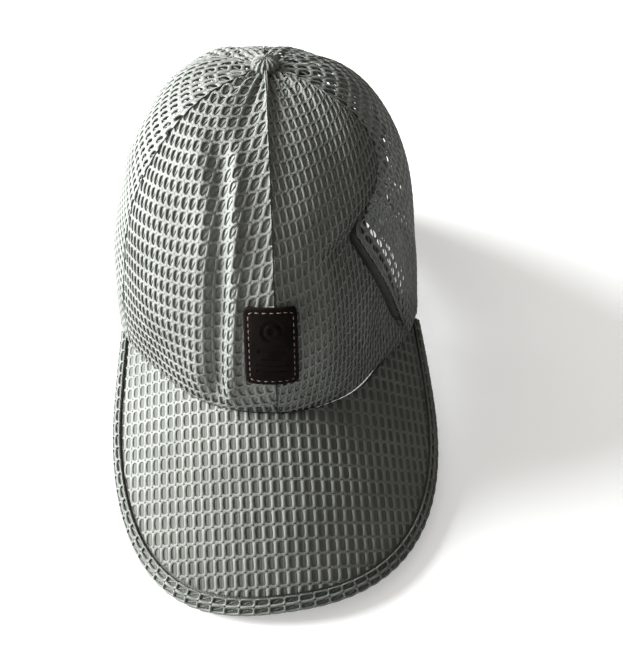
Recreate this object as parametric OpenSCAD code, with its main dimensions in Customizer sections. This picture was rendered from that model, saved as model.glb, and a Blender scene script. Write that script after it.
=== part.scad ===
// Netting baseball cap: six soft crown panels, a long arched bill, and a strap with a cam clasp at the back.
// The cap stands on a table. +Z is up, the bill points to -Y, and the origin is on the table under the
// middle of the whole cap. Left is -X. Layers are counted in millimetres inwards from the outer surface.

/* [Crown] */
// Half of the head opening's width
opening_a = 81; // [78:1:84]
// Half of the head opening's length
opening_b = 106; // [102:1:110]
// Height of the top of the crown
crown_h = 150; // [142:1:158]
// Roundness of the front profile
front_round = 1.95; // [1.8:0.05:2.4]
// Roundness of the side profile
side_round = 2.8; // [2.3:0.1:3.2]
// Roundness of the back profile
back_round = 1.8; // [1.7:0.05:2.4]
// Roundness of the top of every profile
top_round = 1.95; // [1.8:0.05:2.4]
// Thickness of the netting, cell ribs included
netting_t = 1.2; // [0.9:0.1:1.3]
// Angle of the seam between the front and side panels
front_seam = 65; // [60:1:70]
// Angle of the seam between the side and back panels
back_seam = 122; // [115:1:128]

/* [Back opening] */
// Half angle of the arched opening at the back
arch_half = 32; // [28:1:35]
// Height of the arched opening
arch_h = 44; // [38:1:50]

/* [Bill] */
// Length of the bill past its seam, along the middle
bill_len = 82; // [60:1:88]
// Half of the bill's width, measured along its arch
bill_half_w = 91; // [87:1:92]
// Height of the middle of the bill's seam
seam_h = 49.5; // [49.5:0.5:54]
// Slope of the bill down towards its tip
bill_pitch = 21.5; // [18:0.5:23]
// Radius of the arch at the middle of the bill
arch_r = 67; // [64:1:75]
// Steepest slope of the arch, near the bill's sides
arch_slope = 45; // [38:1:46]

/* [Strap and clasp] */
// Width of the strap
strap_w = 16; // [14:1:16]
// Angle of the clasp from the middle of the back, towards the right
clasp_at = 12; // [10:1:13]
// Travel of the keeper loop to each side, in degrees around the strap's curve
keeper_travel = 5; // [3:1:5]

/* [Patch] */
// Width of the leather patch
patch_w = 22; // [18:1:24]
// Height of the leather patch, along the panel
patch_h = 34; // [28:1:36]

/* [Hidden] */

netting_green = [0.60, 0.63, 0.61];
backing_grey = [0.48, 0.51, 0.50];
patch_brown = [0.10, 0.07, 0.06];
thread_tan = [0.75, 0.65, 0.58];
metal_grey = [0.62, 0.62, 0.60];
board_grey = [0.16, 0.16, 0.15];

gap = 0.3;             // clearance between neighbouring layers
seam_gap = 0.25;       // half of the gap between neighbouring panels, in degrees
top_tau = 88.8;        // profile angle at which the panels stop, under the button
strap_t = 1.2;
strap_circle = opening_a * opening_a / opening_b;   // radius of the circle that fits the back of the cap
binding_t = 0.5;
binding_w = 9;
sweat_t = 2.0;         // sweatband thickness
sweat_h = 30;          // sweatband height

// ---- Bill: an arched sheet, u across along the arch, v forwards from the seam ----
flatten = 0.0043;      // how much the arch opens out for each millimetre forwards
tip_sag = 0.004;       // extra curve down towards the tip
rim_middle = -19;      // v of the widest line of the bill
rim_power = 2.4;       // squareness of the bill's outline
bill_end = 76;         // angle around the crown where the bill's seam ends
rim_setback = 1.5;     // distance of the inner bill layers from the rim
board_t = 1.5;
cloth_t = 1.0;
under_t = 0.7;
board_at = cloth_t + gap;
under_at = board_at + board_t + gap;
bill_t = under_at + under_t;

function tanh(x) = 1 - 2 / (exp(2 * x) + 1);
function slope(u) = arch_slope * tanh(u / arch_r * 180 / PI / arch_slope);
arch_step = 2;
arch_x = [for (i = 0, s = 0; i <= 60; s = s + arch_step * cos(slope((i + 0.5) * arch_step)), i = i + 1)
          [i * arch_step, s]];
arch_z = [for (i = 0, s = 0; i <= 60; s = s - arch_step * sin(slope((i + 0.5) * arch_step)), i = i + 1)
          [i * arch_step, s]];
arch_u = [for (p = arch_x) [p[1], p[0]]];
function side_of(u) = u < 0 ? -1 : 1;
function across(u) = side_of(u) * lookup(abs(u), arch_x);
function drop(u, v, d) = lookup(abs(u), arch_z) * (1 - flatten * v) - tip_sag * v * v / 2 - d * cos(slope(u));

tip_drop = drop(0, bill_len, 0);
front_reach = opening_b + bill_len * cos(bill_pitch) + tip_drop * sin(bill_pitch) + 1.0;
back_reach = opening_b + 2.0;
middle_y = (front_reach - back_reach) / 2;   // y of the crown's centre

// A point of the bill, d below its top surface
function bill_pt(u, v, d) = [across(u) - d * sin(slope(u)),
                             middle_y - opening_b - v * cos(bill_pitch) - drop(u, v, d) * sin(bill_pitch),
                             seam_h - v * sin(bill_pitch) + drop(u, v, d) * cos(bill_pitch)];
// v at which the bill meets the crown's plan outline, found by repeated substitution
function meet_y(x, g) = -(opening_b + g) * sqrt(max(0, 1 - pow(x / (opening_a + g), 2)));
function meet_v(u, d, g, v = 0, k = 12) =
    k == 0 ? v
           : meet_v(u, d, g, (-(meet_y(across(u) - d * sin(slope(u)), g) + opening_b)
                              - drop(u, v, d) * sin(bill_pitch)) / cos(bill_pitch), k - 1);
// u and v of the rim at a share s of its curved front, from the left (0) to the right (1)
function rim_u(s, inset) =
    let (a = -90 + 180 * s) (bill_half_w - inset) * side_of(a) * pow(abs(sin(a)), 2 / rim_power);
function rim_v(s, inset) =
    let (a = -90 + 180 * s) rim_middle + (bill_len - rim_middle - inset) * pow(abs(cos(a)), 2 / rim_power);
// The whole rim as u and v: straight side, curved front, straight side
rim_side = 8;          // steps along each straight side
rim_front = 48;        // steps around the front
function rim_uv(inset, v_back) = concat(
    [for (i = [0 : rim_side - 1]) [-(bill_half_w - inset), v_back + (rim_middle - v_back) * i / rim_side]],
    [for (i = [0 : rim_front]) [rim_u(i / rim_front, inset), rim_v(i / rim_front, inset)]],
    [for (i = [1 : rim_side]) [bill_half_w - inset, rim_middle + (v_back - rim_middle) * i / rim_side]]);

// ---- Crown: f is the angle around it (0 front, 180 back, + to the right), tau climbs from 0 to 90 ----
function meet_u(f) = lookup(opening_a * sin(min(abs(f), bill_end)), arch_u);
function front_z(f) = let (u = meet_u(f), v = meet_v(u, 0, 0)) bill_pt(u, v, 0)[2];
base_step = 4;
base_table = [for (f = [0 : base_step : 180])
              [f, front_z(f) * (f < bill_end ? 1 : pow((180 - f) / (180 - bill_end), 2))]];
function base_z(f) = lookup(abs(f), base_table);
function profile_round(f) = side_round
    + ((cos(f) > 0 ? front_round : back_round) - side_round) * pow(cos(f), 2);
// A point of the crown, d inside its outer surface
function crown_pt(f, tau, d) =
    let (rho = pow(cos(tau), 2 / profile_round(f)), t = pow(sin(tau), 2 / top_round))
    [(opening_a - d) * sin(f) * rho,
     middle_y - (opening_b - d) * cos(f) * rho,
     base_z(f) + (crown_h - d - base_z(f)) * t];
// tau at which the crown reaches the height z
function tau_at(f, z) = asin(pow(max(0, z - base_z(f)) / (crown_h - base_z(f)), top_round / 2));
// Lower edge of the crown, which follows the arch at the back
function arch_share(f) = min(1, (180 - abs(f)) / arch_half);
function arch_z_at(f) = arch_h * sqrt(1 - pow(arch_share(f), 2));
function edge_tau(f) = arch_share(f) < 1 ? tau_at(f, arch_z_at(f)) : 0;

// ---- Solids between two grids of points ----
// outer and inner are grids with the same rows and columns; the solid fills the space between them
module slab(outer, inner) {
    rows = len(outer);
    cols = len(outer[0]);
    half = rows * cols;
    points = concat([for (r = outer) each r], [for (r = inner) each r]);
    skin = [for (i = [0 : rows - 2], j = [0 : cols - 2])
            let (a = i * cols + j, b = a + 1, c = a + cols, d = c + 1) each [[a, b, d], [a, d, c]]];
    back = [for (t = skin) [t[2] + half, t[1] + half, t[0] + half]];
    rim = concat([for (j = [0 : cols - 1]) j],
                 [for (i = [1 : rows - 1]) i * cols + cols - 1],
                 [for (j = [cols - 2 : -1 : 0]) (rows - 1) * cols + j],
                 [for (i = [rows - 2 : -1 : 1]) i * cols]);
    walls = [for (i = [0 : len(rim) - 1])
             let (a = rim[i], b = rim[(i + 1) % len(rim)])
             each [[a, a + half, b + half], [a, b + half, b]]];
    polyhedron(points, concat(skin, back, walls), convexity = 6);
}

// A closed tube: rings is a list of equal rings of points; the ends are closed flat
module loft(rings) {
    n = len(rings[0]);
    last = len(rings) - 1;
    points = [for (r = rings) each r];
    sides = [for (i = [0 : last - 1], j = [0 : n - 1])
             let (a = i * n + j, b = i * n + (j + 1) % n)
             each [[b, a, b + n], [b + n, a, a + n]]];
    caps = concat([for (j = [1 : n - 2]) [0, j, j + 1]],
                  [for (j = [1 : n - 2]) [last * n, last * n + j + 1, last * n + j]]);
    polyhedron(points, concat(sides, caps), convexity = 6);
}

// Part of the crown between two lists: angles across, and profile angles from low(f) to high
module crown_part(angles, low, high, d1, d2, rows) {
    function grid(d) = [for (i = [0 : rows])
                        [for (f = angles) crown_pt(f, low(f) + (high - low(f)) * i / rows, d)]];
    slab(grid(d2), grid(d1));
}

function span(f1, f2, n) = [for (i = [0 : n]) f1 + (f2 - f1) * i / n];
// Angles across a back panel: even up to the opening, then closer where the arch is steep
function back_angles() = concat(span(back_seam + seam_gap, 180 - arch_half - 1, 4),
                                [for (i = [0 : 9]) 180 - max(seam_gap, arch_half * cos(i * 10))]);
function mirrored(list) = [for (i = [len(list) - 1 : -1 : 0]) -list[i]];

panel_rows = 14;
panel_cols = 12;
module panel(f1, f2)
    color(netting_green)
        crown_part(span(f1 + seam_gap, f2 - seam_gap, panel_cols), function (f) edge_tau(f), top_tau,
                   0, netting_t, panel_rows);

module front_left_panel() panel(-front_seam, 0);
module front_right_panel() panel(0, front_seam);
module side_left_panel() panel(-back_seam, -front_seam);
module side_right_panel() panel(front_seam, back_seam);
module back_panel(angles)
    color(netting_green)
        crown_part(angles, function (f) edge_tau(f), top_tau, 0, netting_t, panel_rows);
module back_left_panel() back_panel(mirrored(back_angles()));
module back_right_panel() back_panel(back_angles());

// Linings behind the two front panels
lining_at = netting_t + gap;
lining_t = 0.3;
module lining(f1, f2)
    color(backing_grey)
        crown_part(span(f1, f2, 16), function (f) 1.5, 80, lining_at, lining_at + lining_t, 14);
module front_left_lining() lining(-front_seam + 1, -0.5);
module front_right_lining() lining(0.5, front_seam - 1);

// Tapes over the inside of the seams
tape_at = lining_at + lining_t + 0.5;
tape_t = 0.5;
tape_top = 78;
tape_low = 3;
module seam_tape(f, half_deg, low)
    color(netting_green)
        crown_part(span(f - half_deg, f + half_deg, 4), function (g) low, tape_top, tape_at,
                   tape_at + tape_t, 12);
front_half = 3;        // half widths of the tapes, in degrees around the crown
back_half = 4;
module front_seam_tape() seam_tape(0, front_half, tape_low);
module left_seam_tape() seam_tape(-front_seam, back_half, tape_low);
module right_seam_tape() seam_tape(front_seam, back_half, tape_low);
module back_left_tape() seam_tape(-back_seam, back_half, tape_low);
module back_right_tape() seam_tape(back_seam, back_half, tape_low);
module back_seam_tape() seam_tape(180, back_half, edge_tau(180) + binding_w + tape_low);

// Binding that follows the arched opening on the inside of the back panels
binding_low = 1;       // height of its ends
module arch_binding() {
    steps = 24;
    base_w = arch_half * PI / 180 * strap_circle;   // half width of the opening at the table
    function ring(d) = [for (w = [0, binding_w])
        [for (i = [0 : steps])
            let (turn = arch_half * (1 + w / base_w) * cos(180 * i / steps),
                 f = turn > 0 ? 180 - turn : -180 - turn)
            crown_pt(f, tau_at(f, (arch_h + w) * sin(180 * i / steps) + binding_low), d)]];
    color(netting_green) slab(ring(lining_at + binding_t), ring(lining_at));
}

// Bands inside the base, between two depths: one ring of points for each height over the crown's edge
module inside_band(angles, heights, d1, d2) {
    function ring(d) = [for (h = heights) [for (f = angles) crown_pt(f, tau_at(f, base_z(f) + h), d)]];
    slab(ring(d2), ring(d1));
}
// Sweatband: a loop inside the base, open across the back
sweat_at = tape_at + tape_t + gap;
sweat_low = 0.6;       // height of its lower edge over the crown's
sweat_stop = 180 - arch_half - 8;
module sweatband()
    color(backing_grey)
        inside_band(span(-sweat_stop, sweat_stop, 64), [sweat_low, sweat_h / 2, sweat_h], sweat_at,
                    sweat_at + sweat_t);

// Blank size label on the inside of the sweatband, beside the back opening
label_at = sweat_at + sweat_t + 0.2;
label_t = 0.4;
label_margin = 6;      // from the sweatband's edges
label_turn = 12;       // degrees around the crown that the label takes up
module size_label()
    color("white")
        inside_band(span(4 - sweat_stop, 4 - sweat_stop + label_turn, 4),
                    [label_margin, sweat_h - label_margin], label_at, label_at + label_t);

// ---- Top button: cloth cover over a domed shell, with a prong through the crown ----
button_r = 6;
button_h = 4.2;
button_z = crown_h + 0.4;
shell_t = 0.5;
cover_t = 0.8;
shell_in = cover_t + 0.12;   // the shell's outside, inwards from the cover's
module dome(r, h, from_z) {
    ball = (r * r + h * h) / (2 * h);
    translate([0, middle_y, from_z])
        rotate_extrude($fn = 48)
            intersection() {
                translate([0, h - ball]) circle(r = ball, $fn = 96);
                square([r, h]);
            }
}
module button_cover()
    color(netting_green)
        difference() {
            dome(button_r, button_h, button_z);
            dome(button_r - cover_t, button_h - cover_t, button_z - 0.01);
        }
module button_shell()
    color(metal_grey)
        difference() {
            dome(button_r - shell_in, button_h - shell_in, button_z);
            dome(button_r - shell_in - shell_t, button_h - shell_in - shell_t, button_z - 0.01);
        }
// The prong stands on a washer inside the crown and reaches up into the shell
prong_r = 1.6;
washer_r = 6;
washer_drop = 4.2;
module button_prongs()
    color(metal_grey)
        translate([0, middle_y, crown_h - washer_drop]) {
            cylinder(r = washer_r, h = 0.8, $fn = 48);
            cylinder(r = prong_r, h = washer_drop + button_h - shell_in - shell_t, $fn = 32);
        }

// ---- Bill layers ----
bill_cols = 30;
bill_rows = 10;
// One layer from depth d1 to d2, between the seam and the rim
module bill_layer(d1, d2, inset, seam_off) {
    half = bill_half_w - inset;
    function front_v(u) = rim_middle + (bill_len - rim_middle - inset)
                          * pow(max(0, 1 - pow(abs(u) / half, rim_power)), 1 / rim_power);
    function column(j) = half * sin(-90 + 180 * j / bill_cols);
    function grid(d) = [for (i = [0 : bill_rows])
        [for (j = [0 : bill_cols])
            let (u = column(j), v0 = meet_v(u, d, seam_off), v1 = front_v(u))
            bill_pt(u, v0 + (v1 - v0) * i / bill_rows, d)]];
    slab(grid(d1), grid(d2));
}
seam_off = 0.4;
module bill_top_cloth() color(netting_green) bill_layer(0, cloth_t, rim_setback, seam_off);
module bill_board() color(board_grey) bill_layer(board_at, board_at + board_t, rim_setback, seam_off + 0.6);
module bill_under_cloth() color(netting_green) bill_layer(under_at, bill_t, rim_setback, seam_off);

// Sweeps a section around the rim. Each corner of the section is an inset from the rim and a depth,
// and both ends stop short of the crown by off.
least_inset = 3;       // lines nearer the rim than this stop where this one does
function rim_sweep(section, off) =
    let (lines = [for (c = section)
                  let (v_back = meet_v(bill_half_w - max(c[0], least_inset), c[1], seam_off) + off)
                  [for (q = rim_uv(c[0], v_back)) bill_pt(q[0], q[1], c[1])]])
    [for (i = [0 : len(lines[0]) - 1]) [for (l = lines) l[i]]];

// Netting band folded around the rim: a U section, band_w wide on the top and underneath
band_w = 7;
band_wall = 0.7;
band_bulge = 0.4;      // how far the fold stands proud of the rim
band_end = 0.5;        // gap from the band's ends to the crown
module bill_edge_band() {
    top = -gap;
    low = bill_t + gap;
    outside = [[band_w, top - band_wall], [0, top - band_wall], [-band_bulge, bill_t / 2],
               [0, low + band_wall], [band_w, low + band_wall]];
    inside = [[band_w, top], [band_wall, top], [band_wall, bill_t / 2], [band_wall, low], [band_w, low]];
    color(netting_green) slab(rim_sweep(inside, band_end), rim_sweep(outside, band_end));
}

// Row of stitches that holds the band, along the middle of its top
stitch_r = 0.25;
stitch_gap = 0.05;     // between a stitch and the surface under it
stitch_end = 2;        // gap from the row's ends to the crown
module bill_edge_stitching() {
    sides = 6;
    above = gap + band_wall + stitch_gap + stitch_r;
    section = [for (k = [0 : sides - 1])
               [band_w / 2 + stitch_r * cos(360 * k / sides), -above - stitch_r * sin(360 * k / sides)]];
    color(backing_grey) loft(rim_sweep(section, stitch_end));
}

// ---- Patch: a leather tab on the front seam ----
patch_low = 18;        // height of its lower edge over the bill's seam
patch_t = 1.4;
patch_rise = 0.3;      // clearance over the netting
function front_rho(tau) = pow(cos(tau), 2 / front_round);
// Climbs the front profile: tau at a distance s along the patch from its lower edge
patch_low_tau = tau_at(0, seam_h + patch_low);
patch_high_tau = tau_at(0, seam_h + patch_low + patch_h * 0.93);
function patch_tau(s) = patch_low_tau + (patch_high_tau - patch_low_tau) * s / patch_h;
function patch_pt(x, s, d) = crown_pt(asin(x / opening_a / front_rho(patch_tau(s))), patch_tau(s), d);
// Loss of half width near the rounded corners, at a distance e from the end
patch_r = 2.5;
function patch_corner(e) = patch_r - sqrt(patch_r * patch_r - pow(patch_r - min(e, patch_r), 2));
module leather_patch() {
    corner = [0, 0.24 * patch_r, 0.56 * patch_r, patch_r];
    levels = concat(corner, span(6, patch_h - 6, 4), [for (i = [3 : -1 : 0]) patch_h - corner[i]]);
    function grid(d) = [for (s = levels)
        let (half = patch_w / 2 - patch_corner(min(s, patch_h - s)))
        [for (k = [-1 : 0.25 : 1]) patch_pt(half * k, s, d)]];
    color(patch_brown) slab(grid(-patch_rise), grid(-patch_rise - patch_t));
}
// Dashes of thread around the patch
stitch_inset = 2.4;
stitch_len = 1.7;
stitch_pitch = 2.9;
stitch_t = 0.35;
module patch_stitching() {
    half = patch_w / 2 - stitch_inset;
    lift = -patch_rise - patch_t - stitch_gap;
    long = floor((patch_h - 2 * stitch_inset) / stitch_pitch);
    short = floor(2 * half / stitch_pitch);
    module stitch(x1, s1, x2, s2, wx, ws) {
        function edge(d) = [[patch_pt(x1 - wx, s1 - ws, d), patch_pt(x2 - wx, s2 - ws, d)],
                            [patch_pt(x1 + wx, s1 + ws, d), patch_pt(x2 + wx, s2 + ws, d)]];
        slab(edge(lift), edge(lift - stitch_t));
    }
    color(thread_tan) {
        for (side = [-1, 1], i = [0 : long - 1]) {
            s = stitch_inset + (i + 0.2) * (patch_h - 2 * stitch_inset) / long;
            stitch(side * half, s, side * half, s + stitch_len, -stitch_r, 0);
        }
        for (end = [stitch_inset, patch_h - stitch_inset], i = [0 : short - 1]) {
            x = -half + (i + 0.2) * 2 * half / short;
            stitch(x, end, x + stitch_len, end, 0, stitch_r);
        }
    }
}

// ---- Strap and clasp, on the circle that fits the back of the cap ----
strap_axis_y = middle_y + opening_b - strap_circle;
strap_low = 3;
strap_at = 2.5;        // depth of the strap's outer face
strap_end = 50;        // angle of the sewn ends
loop_ply = 0.8;
bar_at = strap_at + 3.7;   // depth of the bar that carries the short loop, at the clasp's middle
bar_r = 0.75;
frame_half = 9;        // half of the clasp's length
bar_x = frame_half - 1.6;
bar_circle = norm([bar_x, strap_circle - bar_at]);        // the bar's distance from the strap's axis
bar_turn = clasp_at + atan2(bar_x, strap_circle - bar_at);   // and its angle around it
frame_t = 1.2;
plate_t = 1.0;
pin_r = 0.8;
pin_x = -7;
pin_out = 2.2 - strap_at;  // the pin's height outside the crown's surface
run = 0.06;            // running clearance of the pin in the lever
side_gap = 0.5;        // clearance over and under the strap
cheek_low = strap_low - side_gap;
cheek_high = strap_low + strap_w + side_gap;
deg_per_mm = 180 / PI / strap_circle;
keeper_half = 3;       // half of the keeper's width, in degrees
keeper_gap = 1.8;      // between the clasp and the keeper at the end of its travel
keeper_at = clasp_at + (frame_half + keeper_gap) * deg_per_mm + keeper_half + keeper_travel;
tail_end = keeper_at + keeper_half + keeper_travel + 1;   // angle of the long strap's free end

// Arc of rectangular section around the strap's axis; a is the angle from the back's middle, + to the right
module arc(a1, a2, d1, d2, z1, z2)
    translate([0, strap_axis_y, 0])
        rotate([0, 0, 90 - a2])
            rotate_extrude(angle = a2 - a1, $fn = 180)
                translate([strap_circle - d2, z1]) square([d2 - d1, z2 - z1]);
// Flat work at the clasp: x along the strap to the right, y outwards, z up
module at_clasp()
    translate([0, strap_axis_y, 0])
        rotate([0, 0, -clasp_at])
            translate([0, strap_circle, 0])
                children();

module long_strap()
    color(netting_green)
        arc(-strap_end, tail_end, strap_at, strap_at + strap_t, strap_low, strap_low + strap_w);

// Short strap, doubled around the clasp's bar: one outline, out along a ply, around the bar and back
function polar(r, a) = [r * sin(a), r * cos(a)];
module strap_loop() {
    inner = bar_r + 0.15;
    outer = inner + loop_ply;
    run_in = span(strap_end, bar_turn, 12);
    run_out = span(bar_turn, strap_end, 12);
    function ply(r, angles) = [for (a = angles) polar(bar_circle + r, a)];
    function around(r, turns) = [for (k = turns) polar(bar_circle, bar_turn) + polar(r, bar_turn - k)];
    outline = concat(ply(outer, run_in), around(outer, span(15, 165, 10)), ply(-outer, run_out),
                     ply(-inner, run_in), around(inner, span(165, 15, 10)), ply(inner, run_out));
    color(netting_green)
        translate([0, strap_axis_y, strap_low])
            linear_extrude(height = strap_w)
                polygon(outline);
}

// Clasp frame: a base plate under the strap, two cheeks and the bar for the short loop
module clasp_frame() {
    plate_y = -bar_at + 0.6;
    cheek_in = -bar_at - 1.2;
    cheek_out = pin_out + 1.2;
    post = 4.2;        // length of the part of the cheek that holds the pin
    color(metal_grey) at_clasp() {
        translate([-frame_half, plate_y - plate_t, cheek_low - frame_t])
            cube([frame_half + 5, plate_t, cheek_high - cheek_low + 2 * frame_t]);
        for (z = [cheek_low - frame_t, cheek_high])
            difference() {
                translate([-frame_half, cheek_in, z]) cube([2 * frame_half, cheek_out - cheek_in, frame_t]);
                translate([pin_x, pin_out, z - 1]) cylinder(r = pin_r, h = frame_t + 2, $fn = 32);
                translate([post - frame_half, 1 - strap_at, z - 1])
                    cube([2 * frame_half, frame_half, frame_t + 2]);
            }
        translate([bar_x, -bar_at, cheek_low])
            cylinder(r = bar_r, h = cheek_high - cheek_low, $fn = 32);
    }
}

module clasp_pin()
    color(metal_grey) at_clasp()
        translate([pin_x, pin_out, cheek_low - frame_t])
            cylinder(r = pin_r, h = cheek_high - cheek_low + 2 * frame_t, $fn = 32);

// Lever: a barrel on the pin and a plate that lies over the strap when closed
module cam_lever() {
    barrel = 1.6;
    plate = [15, 1.0, strap_w - 1];
    color(metal_grey) at_clasp()
        translate([pin_x, pin_out, strap_low + 0.5])
            difference() {
                union() {
                    cylinder(r = barrel, h = plate[2], $fn = 48);
                    translate([0, barrel - plate[1], 0]) cube(plate);
                    translate([plate[0], barrel - plate[1] / 2, 0])
                        cylinder(r = plate[1] / 2, h = plate[2], $fn = 24);
                }
                translate([0, 0, -1]) cylinder(r = pin_r + run, h = plate[2] + 2, $fn = 48);
            }
}

// Keeper: a slim loop that slides along the strap and holds its end against the short loop
module strap_keeper() {
    keeper_t = 0.8;
    in_d = strap_at - 0.4;
    out_d = bar_at + bar_r + loop_ply + 0.6;
    color(netting_green)
        difference() {
            arc(keeper_at - keeper_half, keeper_at + keeper_half, in_d - keeper_t, out_d + keeper_t,
                cheek_low - keeper_t, cheek_high + keeper_t);
            arc(keeper_at - keeper_half - 1, keeper_at + keeper_half + 1, in_d, out_d, cheek_low, cheek_high);
        }
}

front_left_panel();
front_right_panel();
side_left_panel();
side_right_panel();
back_left_panel();
back_right_panel();
front_left_lining();
front_right_lining();
front_seam_tape();
left_seam_tape();
right_seam_tape();
back_left_tape();
back_right_tape();
back_seam_tape();
arch_binding();
sweatband();
size_label();
button_cover();
button_shell();
button_prongs();
bill_board();
bill_top_cloth();
bill_under_cloth();
bill_edge_band();
bill_edge_stitching();
leather_patch();
patch_stitching();
long_strap();
strap_loop();
clasp_frame();
clasp_pin();
cam_lever();
strap_keeper();
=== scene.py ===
"""Netting baseball cap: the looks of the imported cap, built on its own surfaces.

Lengths are in millimetres and angles in radians inside this script, and meshes are scaled to metres as
they are made. Left is -X, the bill points to -Y. A depth counts inwards from the cap's outer surface.
"""

import math

import bmesh
import bpy
import numpy as np
from mathutils import Matrix, Vector


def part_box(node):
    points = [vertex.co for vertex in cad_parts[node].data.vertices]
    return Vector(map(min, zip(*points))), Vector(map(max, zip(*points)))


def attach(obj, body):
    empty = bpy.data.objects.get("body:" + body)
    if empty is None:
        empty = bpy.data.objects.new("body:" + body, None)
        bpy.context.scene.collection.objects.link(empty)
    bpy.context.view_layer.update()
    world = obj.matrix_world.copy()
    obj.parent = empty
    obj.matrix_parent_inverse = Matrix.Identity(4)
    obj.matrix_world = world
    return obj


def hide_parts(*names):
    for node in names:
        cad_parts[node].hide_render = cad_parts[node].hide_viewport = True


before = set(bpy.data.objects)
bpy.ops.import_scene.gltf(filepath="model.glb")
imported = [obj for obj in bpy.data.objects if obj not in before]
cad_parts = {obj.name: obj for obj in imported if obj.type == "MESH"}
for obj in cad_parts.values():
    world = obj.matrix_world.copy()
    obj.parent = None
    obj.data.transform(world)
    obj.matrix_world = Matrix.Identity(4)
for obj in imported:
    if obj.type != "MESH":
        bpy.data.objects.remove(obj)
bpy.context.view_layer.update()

MM = 0.001
PI = math.pi
rad = np.radians

# ---- Driving sizes, as in the part's own source ----
OPEN_A, OPEN_B, CROWN_H = 81.0, 106.0, 150.0
FRONT_ROUND, SIDE_ROUND, BACK_ROUND, TOP_ROUND = 1.95, 2.8, 1.8, 1.95
FRONT_SEAM, BACK_SEAM = rad(65), rad(122)
ARCH_HALF, ARCH_H = rad(32), 44.0
BILL_LEN, BILL_HALF, SEAM_H, PITCH = 82.0, 91.0, 49.5, rad(21.5)
ARCH_R, ARCH_SLOPE = 67.0, rad(45)
FLATTEN, TIP_SAG = 0.0043, 0.004
RIM_MIDDLE, RIM_POWER, BILL_END = -19.0, 2.4, rad(76)
BILL_T, BAND_W = 3.8, 7.0
TOP_TAU = rad(88.8)
MID_Y = sum(corner.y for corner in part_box("button_shell")) / 2 / MM


# ---- Surfaces of the bill and the crown ----
def arch_tables():
    """Distance along the bill's arch, with x and z of the arch there."""
    u = np.linspace(0, 120, 481)
    middle, step = (u[1:] + u[:-1]) / 2, u[1]
    x = np.concatenate([[0], np.cumsum(np.cos(slope(middle)) * step)])
    z = np.concatenate([[0], -np.cumsum(np.sin(slope(middle)) * step)])
    return u, x, z


def slope(u):
    return ARCH_SLOPE * np.tanh(u / ARCH_R / ARCH_SLOPE)


ARCH_U, ARCH_X, ARCH_Z = arch_tables()


def across(u):
    return np.sign(u) * np.interp(np.abs(u), ARCH_U, ARCH_X)


def drop(u, v, d):
    return (np.interp(np.abs(u), ARCH_U, ARCH_Z) * (1 - FLATTEN * v) - TIP_SAG * v * v / 2
            - d * np.cos(slope(u)))


# The left of the bill reaches further forwards and up than the right
BILL_TWIST, TWIST_LIFT = 0.075, 0.9


def bill_point(u, v, d):
    """Point of the bill: u along its arch, v forwards from the seam, d under its top."""
    u, v, d = np.broadcast_arrays(np.asarray(u, float), v, d)
    ahead = np.clip(v / BILL_LEN, 0, 1) ** 2
    lift = TWIST_LIFT * smooth(-u, 0, 60) * ahead
    v = v - BILL_TWIST * u * ahead
    fall = drop(u, v, d)
    return np.stack([across(u) - d * np.sin(slope(u)),
                     MID_Y - OPEN_B - v * math.cos(PITCH) - fall * math.sin(PITCH),
                     SEAM_H - v * math.sin(PITCH) + fall * math.cos(PITCH) + lift], -1)


def bill_uv(x, y):
    """u and v of the bill's top over a place in plan."""
    u = np.sign(x) * np.interp(np.abs(x), ARCH_X, ARCH_U)
    v = np.zeros_like(u)
    for _ in range(12):
        v = (MID_Y - OPEN_B - y - drop(u, v, 0.0) * math.sin(PITCH)) / math.cos(PITCH)
    return u, v


def rim(a, inset):
    """u and v of the rim's curved front, for a from -90 to 90 degrees."""
    power = 2 / RIM_POWER
    u = (BILL_HALF - inset) * np.sign(np.sin(a)) * np.abs(np.sin(a)) ** power
    v = RIM_MIDDLE + (BILL_LEN - RIM_MIDDLE - inset) * np.abs(np.cos(a)) ** power
    return u, v


def rim_v(u, inset):
    """v of the curved front at u."""
    share = np.clip(np.abs(u) / (BILL_HALF - inset), 0, 1)
    return RIM_MIDDLE + (BILL_LEN - RIM_MIDDLE - inset) * (1 - share ** RIM_POWER) ** (1 / RIM_POWER)


def turned(f):
    """The same angle, from -180 to 180 degrees."""
    return np.angle(np.exp(1j * np.asarray(f, float)))


# Soft dents of the crown: angle and height, spread in degrees and in mm, and size in mm
HUMPS = [(-46, 30, 24, 42, -5.5), (48, 32, 22, 42, -6.0), (84, 62, 26, 42, -4.5), (-115, 132, 40, 22, -0.6),
         (-82, 90, 22, 30, -1.6), (125, 142, 30, 16, -2.2), (80, 108, 18, 22, -2.0)]
# Pleats that run up the left front panel: x at the bill, its shift for each mm up, spread and size, in mm
PLEATS = [(-20.5, 0.087, 2.6, 2.0), (-27.5, 0.089, 3.6, -2.8), (-36.0, 0.15, 5.0, 1.0)]
# How far the right front seam is pulled forwards at its worst
SEAM_PULL = rad(29)
# Height of that place, and how far it reaches down and up
PULL_Z, PULL_LOW, PULL_HIGH = 109.0, 92.0, 14.0
# Depth of the dent, of its far side and of the slot under the fold
DENT, CREASE, SLOT = 3.8, 0.5, 8.5


def smooth(x, low, high):
    """0 below low, 1 above high, and smooth between."""
    t = np.clip((x - low) / (high - low), 0, 1)
    return t * t * (3 - 2 * t)


def pulled(f, z):
    """Where the cloth at an angle really lies, once the right front seam has slipped forwards."""
    above = np.exp(-(np.maximum(z - PULL_Z, 0) / PULL_HIGH) ** 2)
    pull = SEAM_PULL * np.where(z < PULL_Z, np.clip(1 - (PULL_Z - z) / PULL_LOW, 0, 1), above)
    share = np.where(f < FRONT_SEAM, smooth(f, 0.0, FRONT_SEAM), 1 - smooth(f, FRONT_SEAM, BACK_SEAM))
    return f - pull * share


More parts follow.
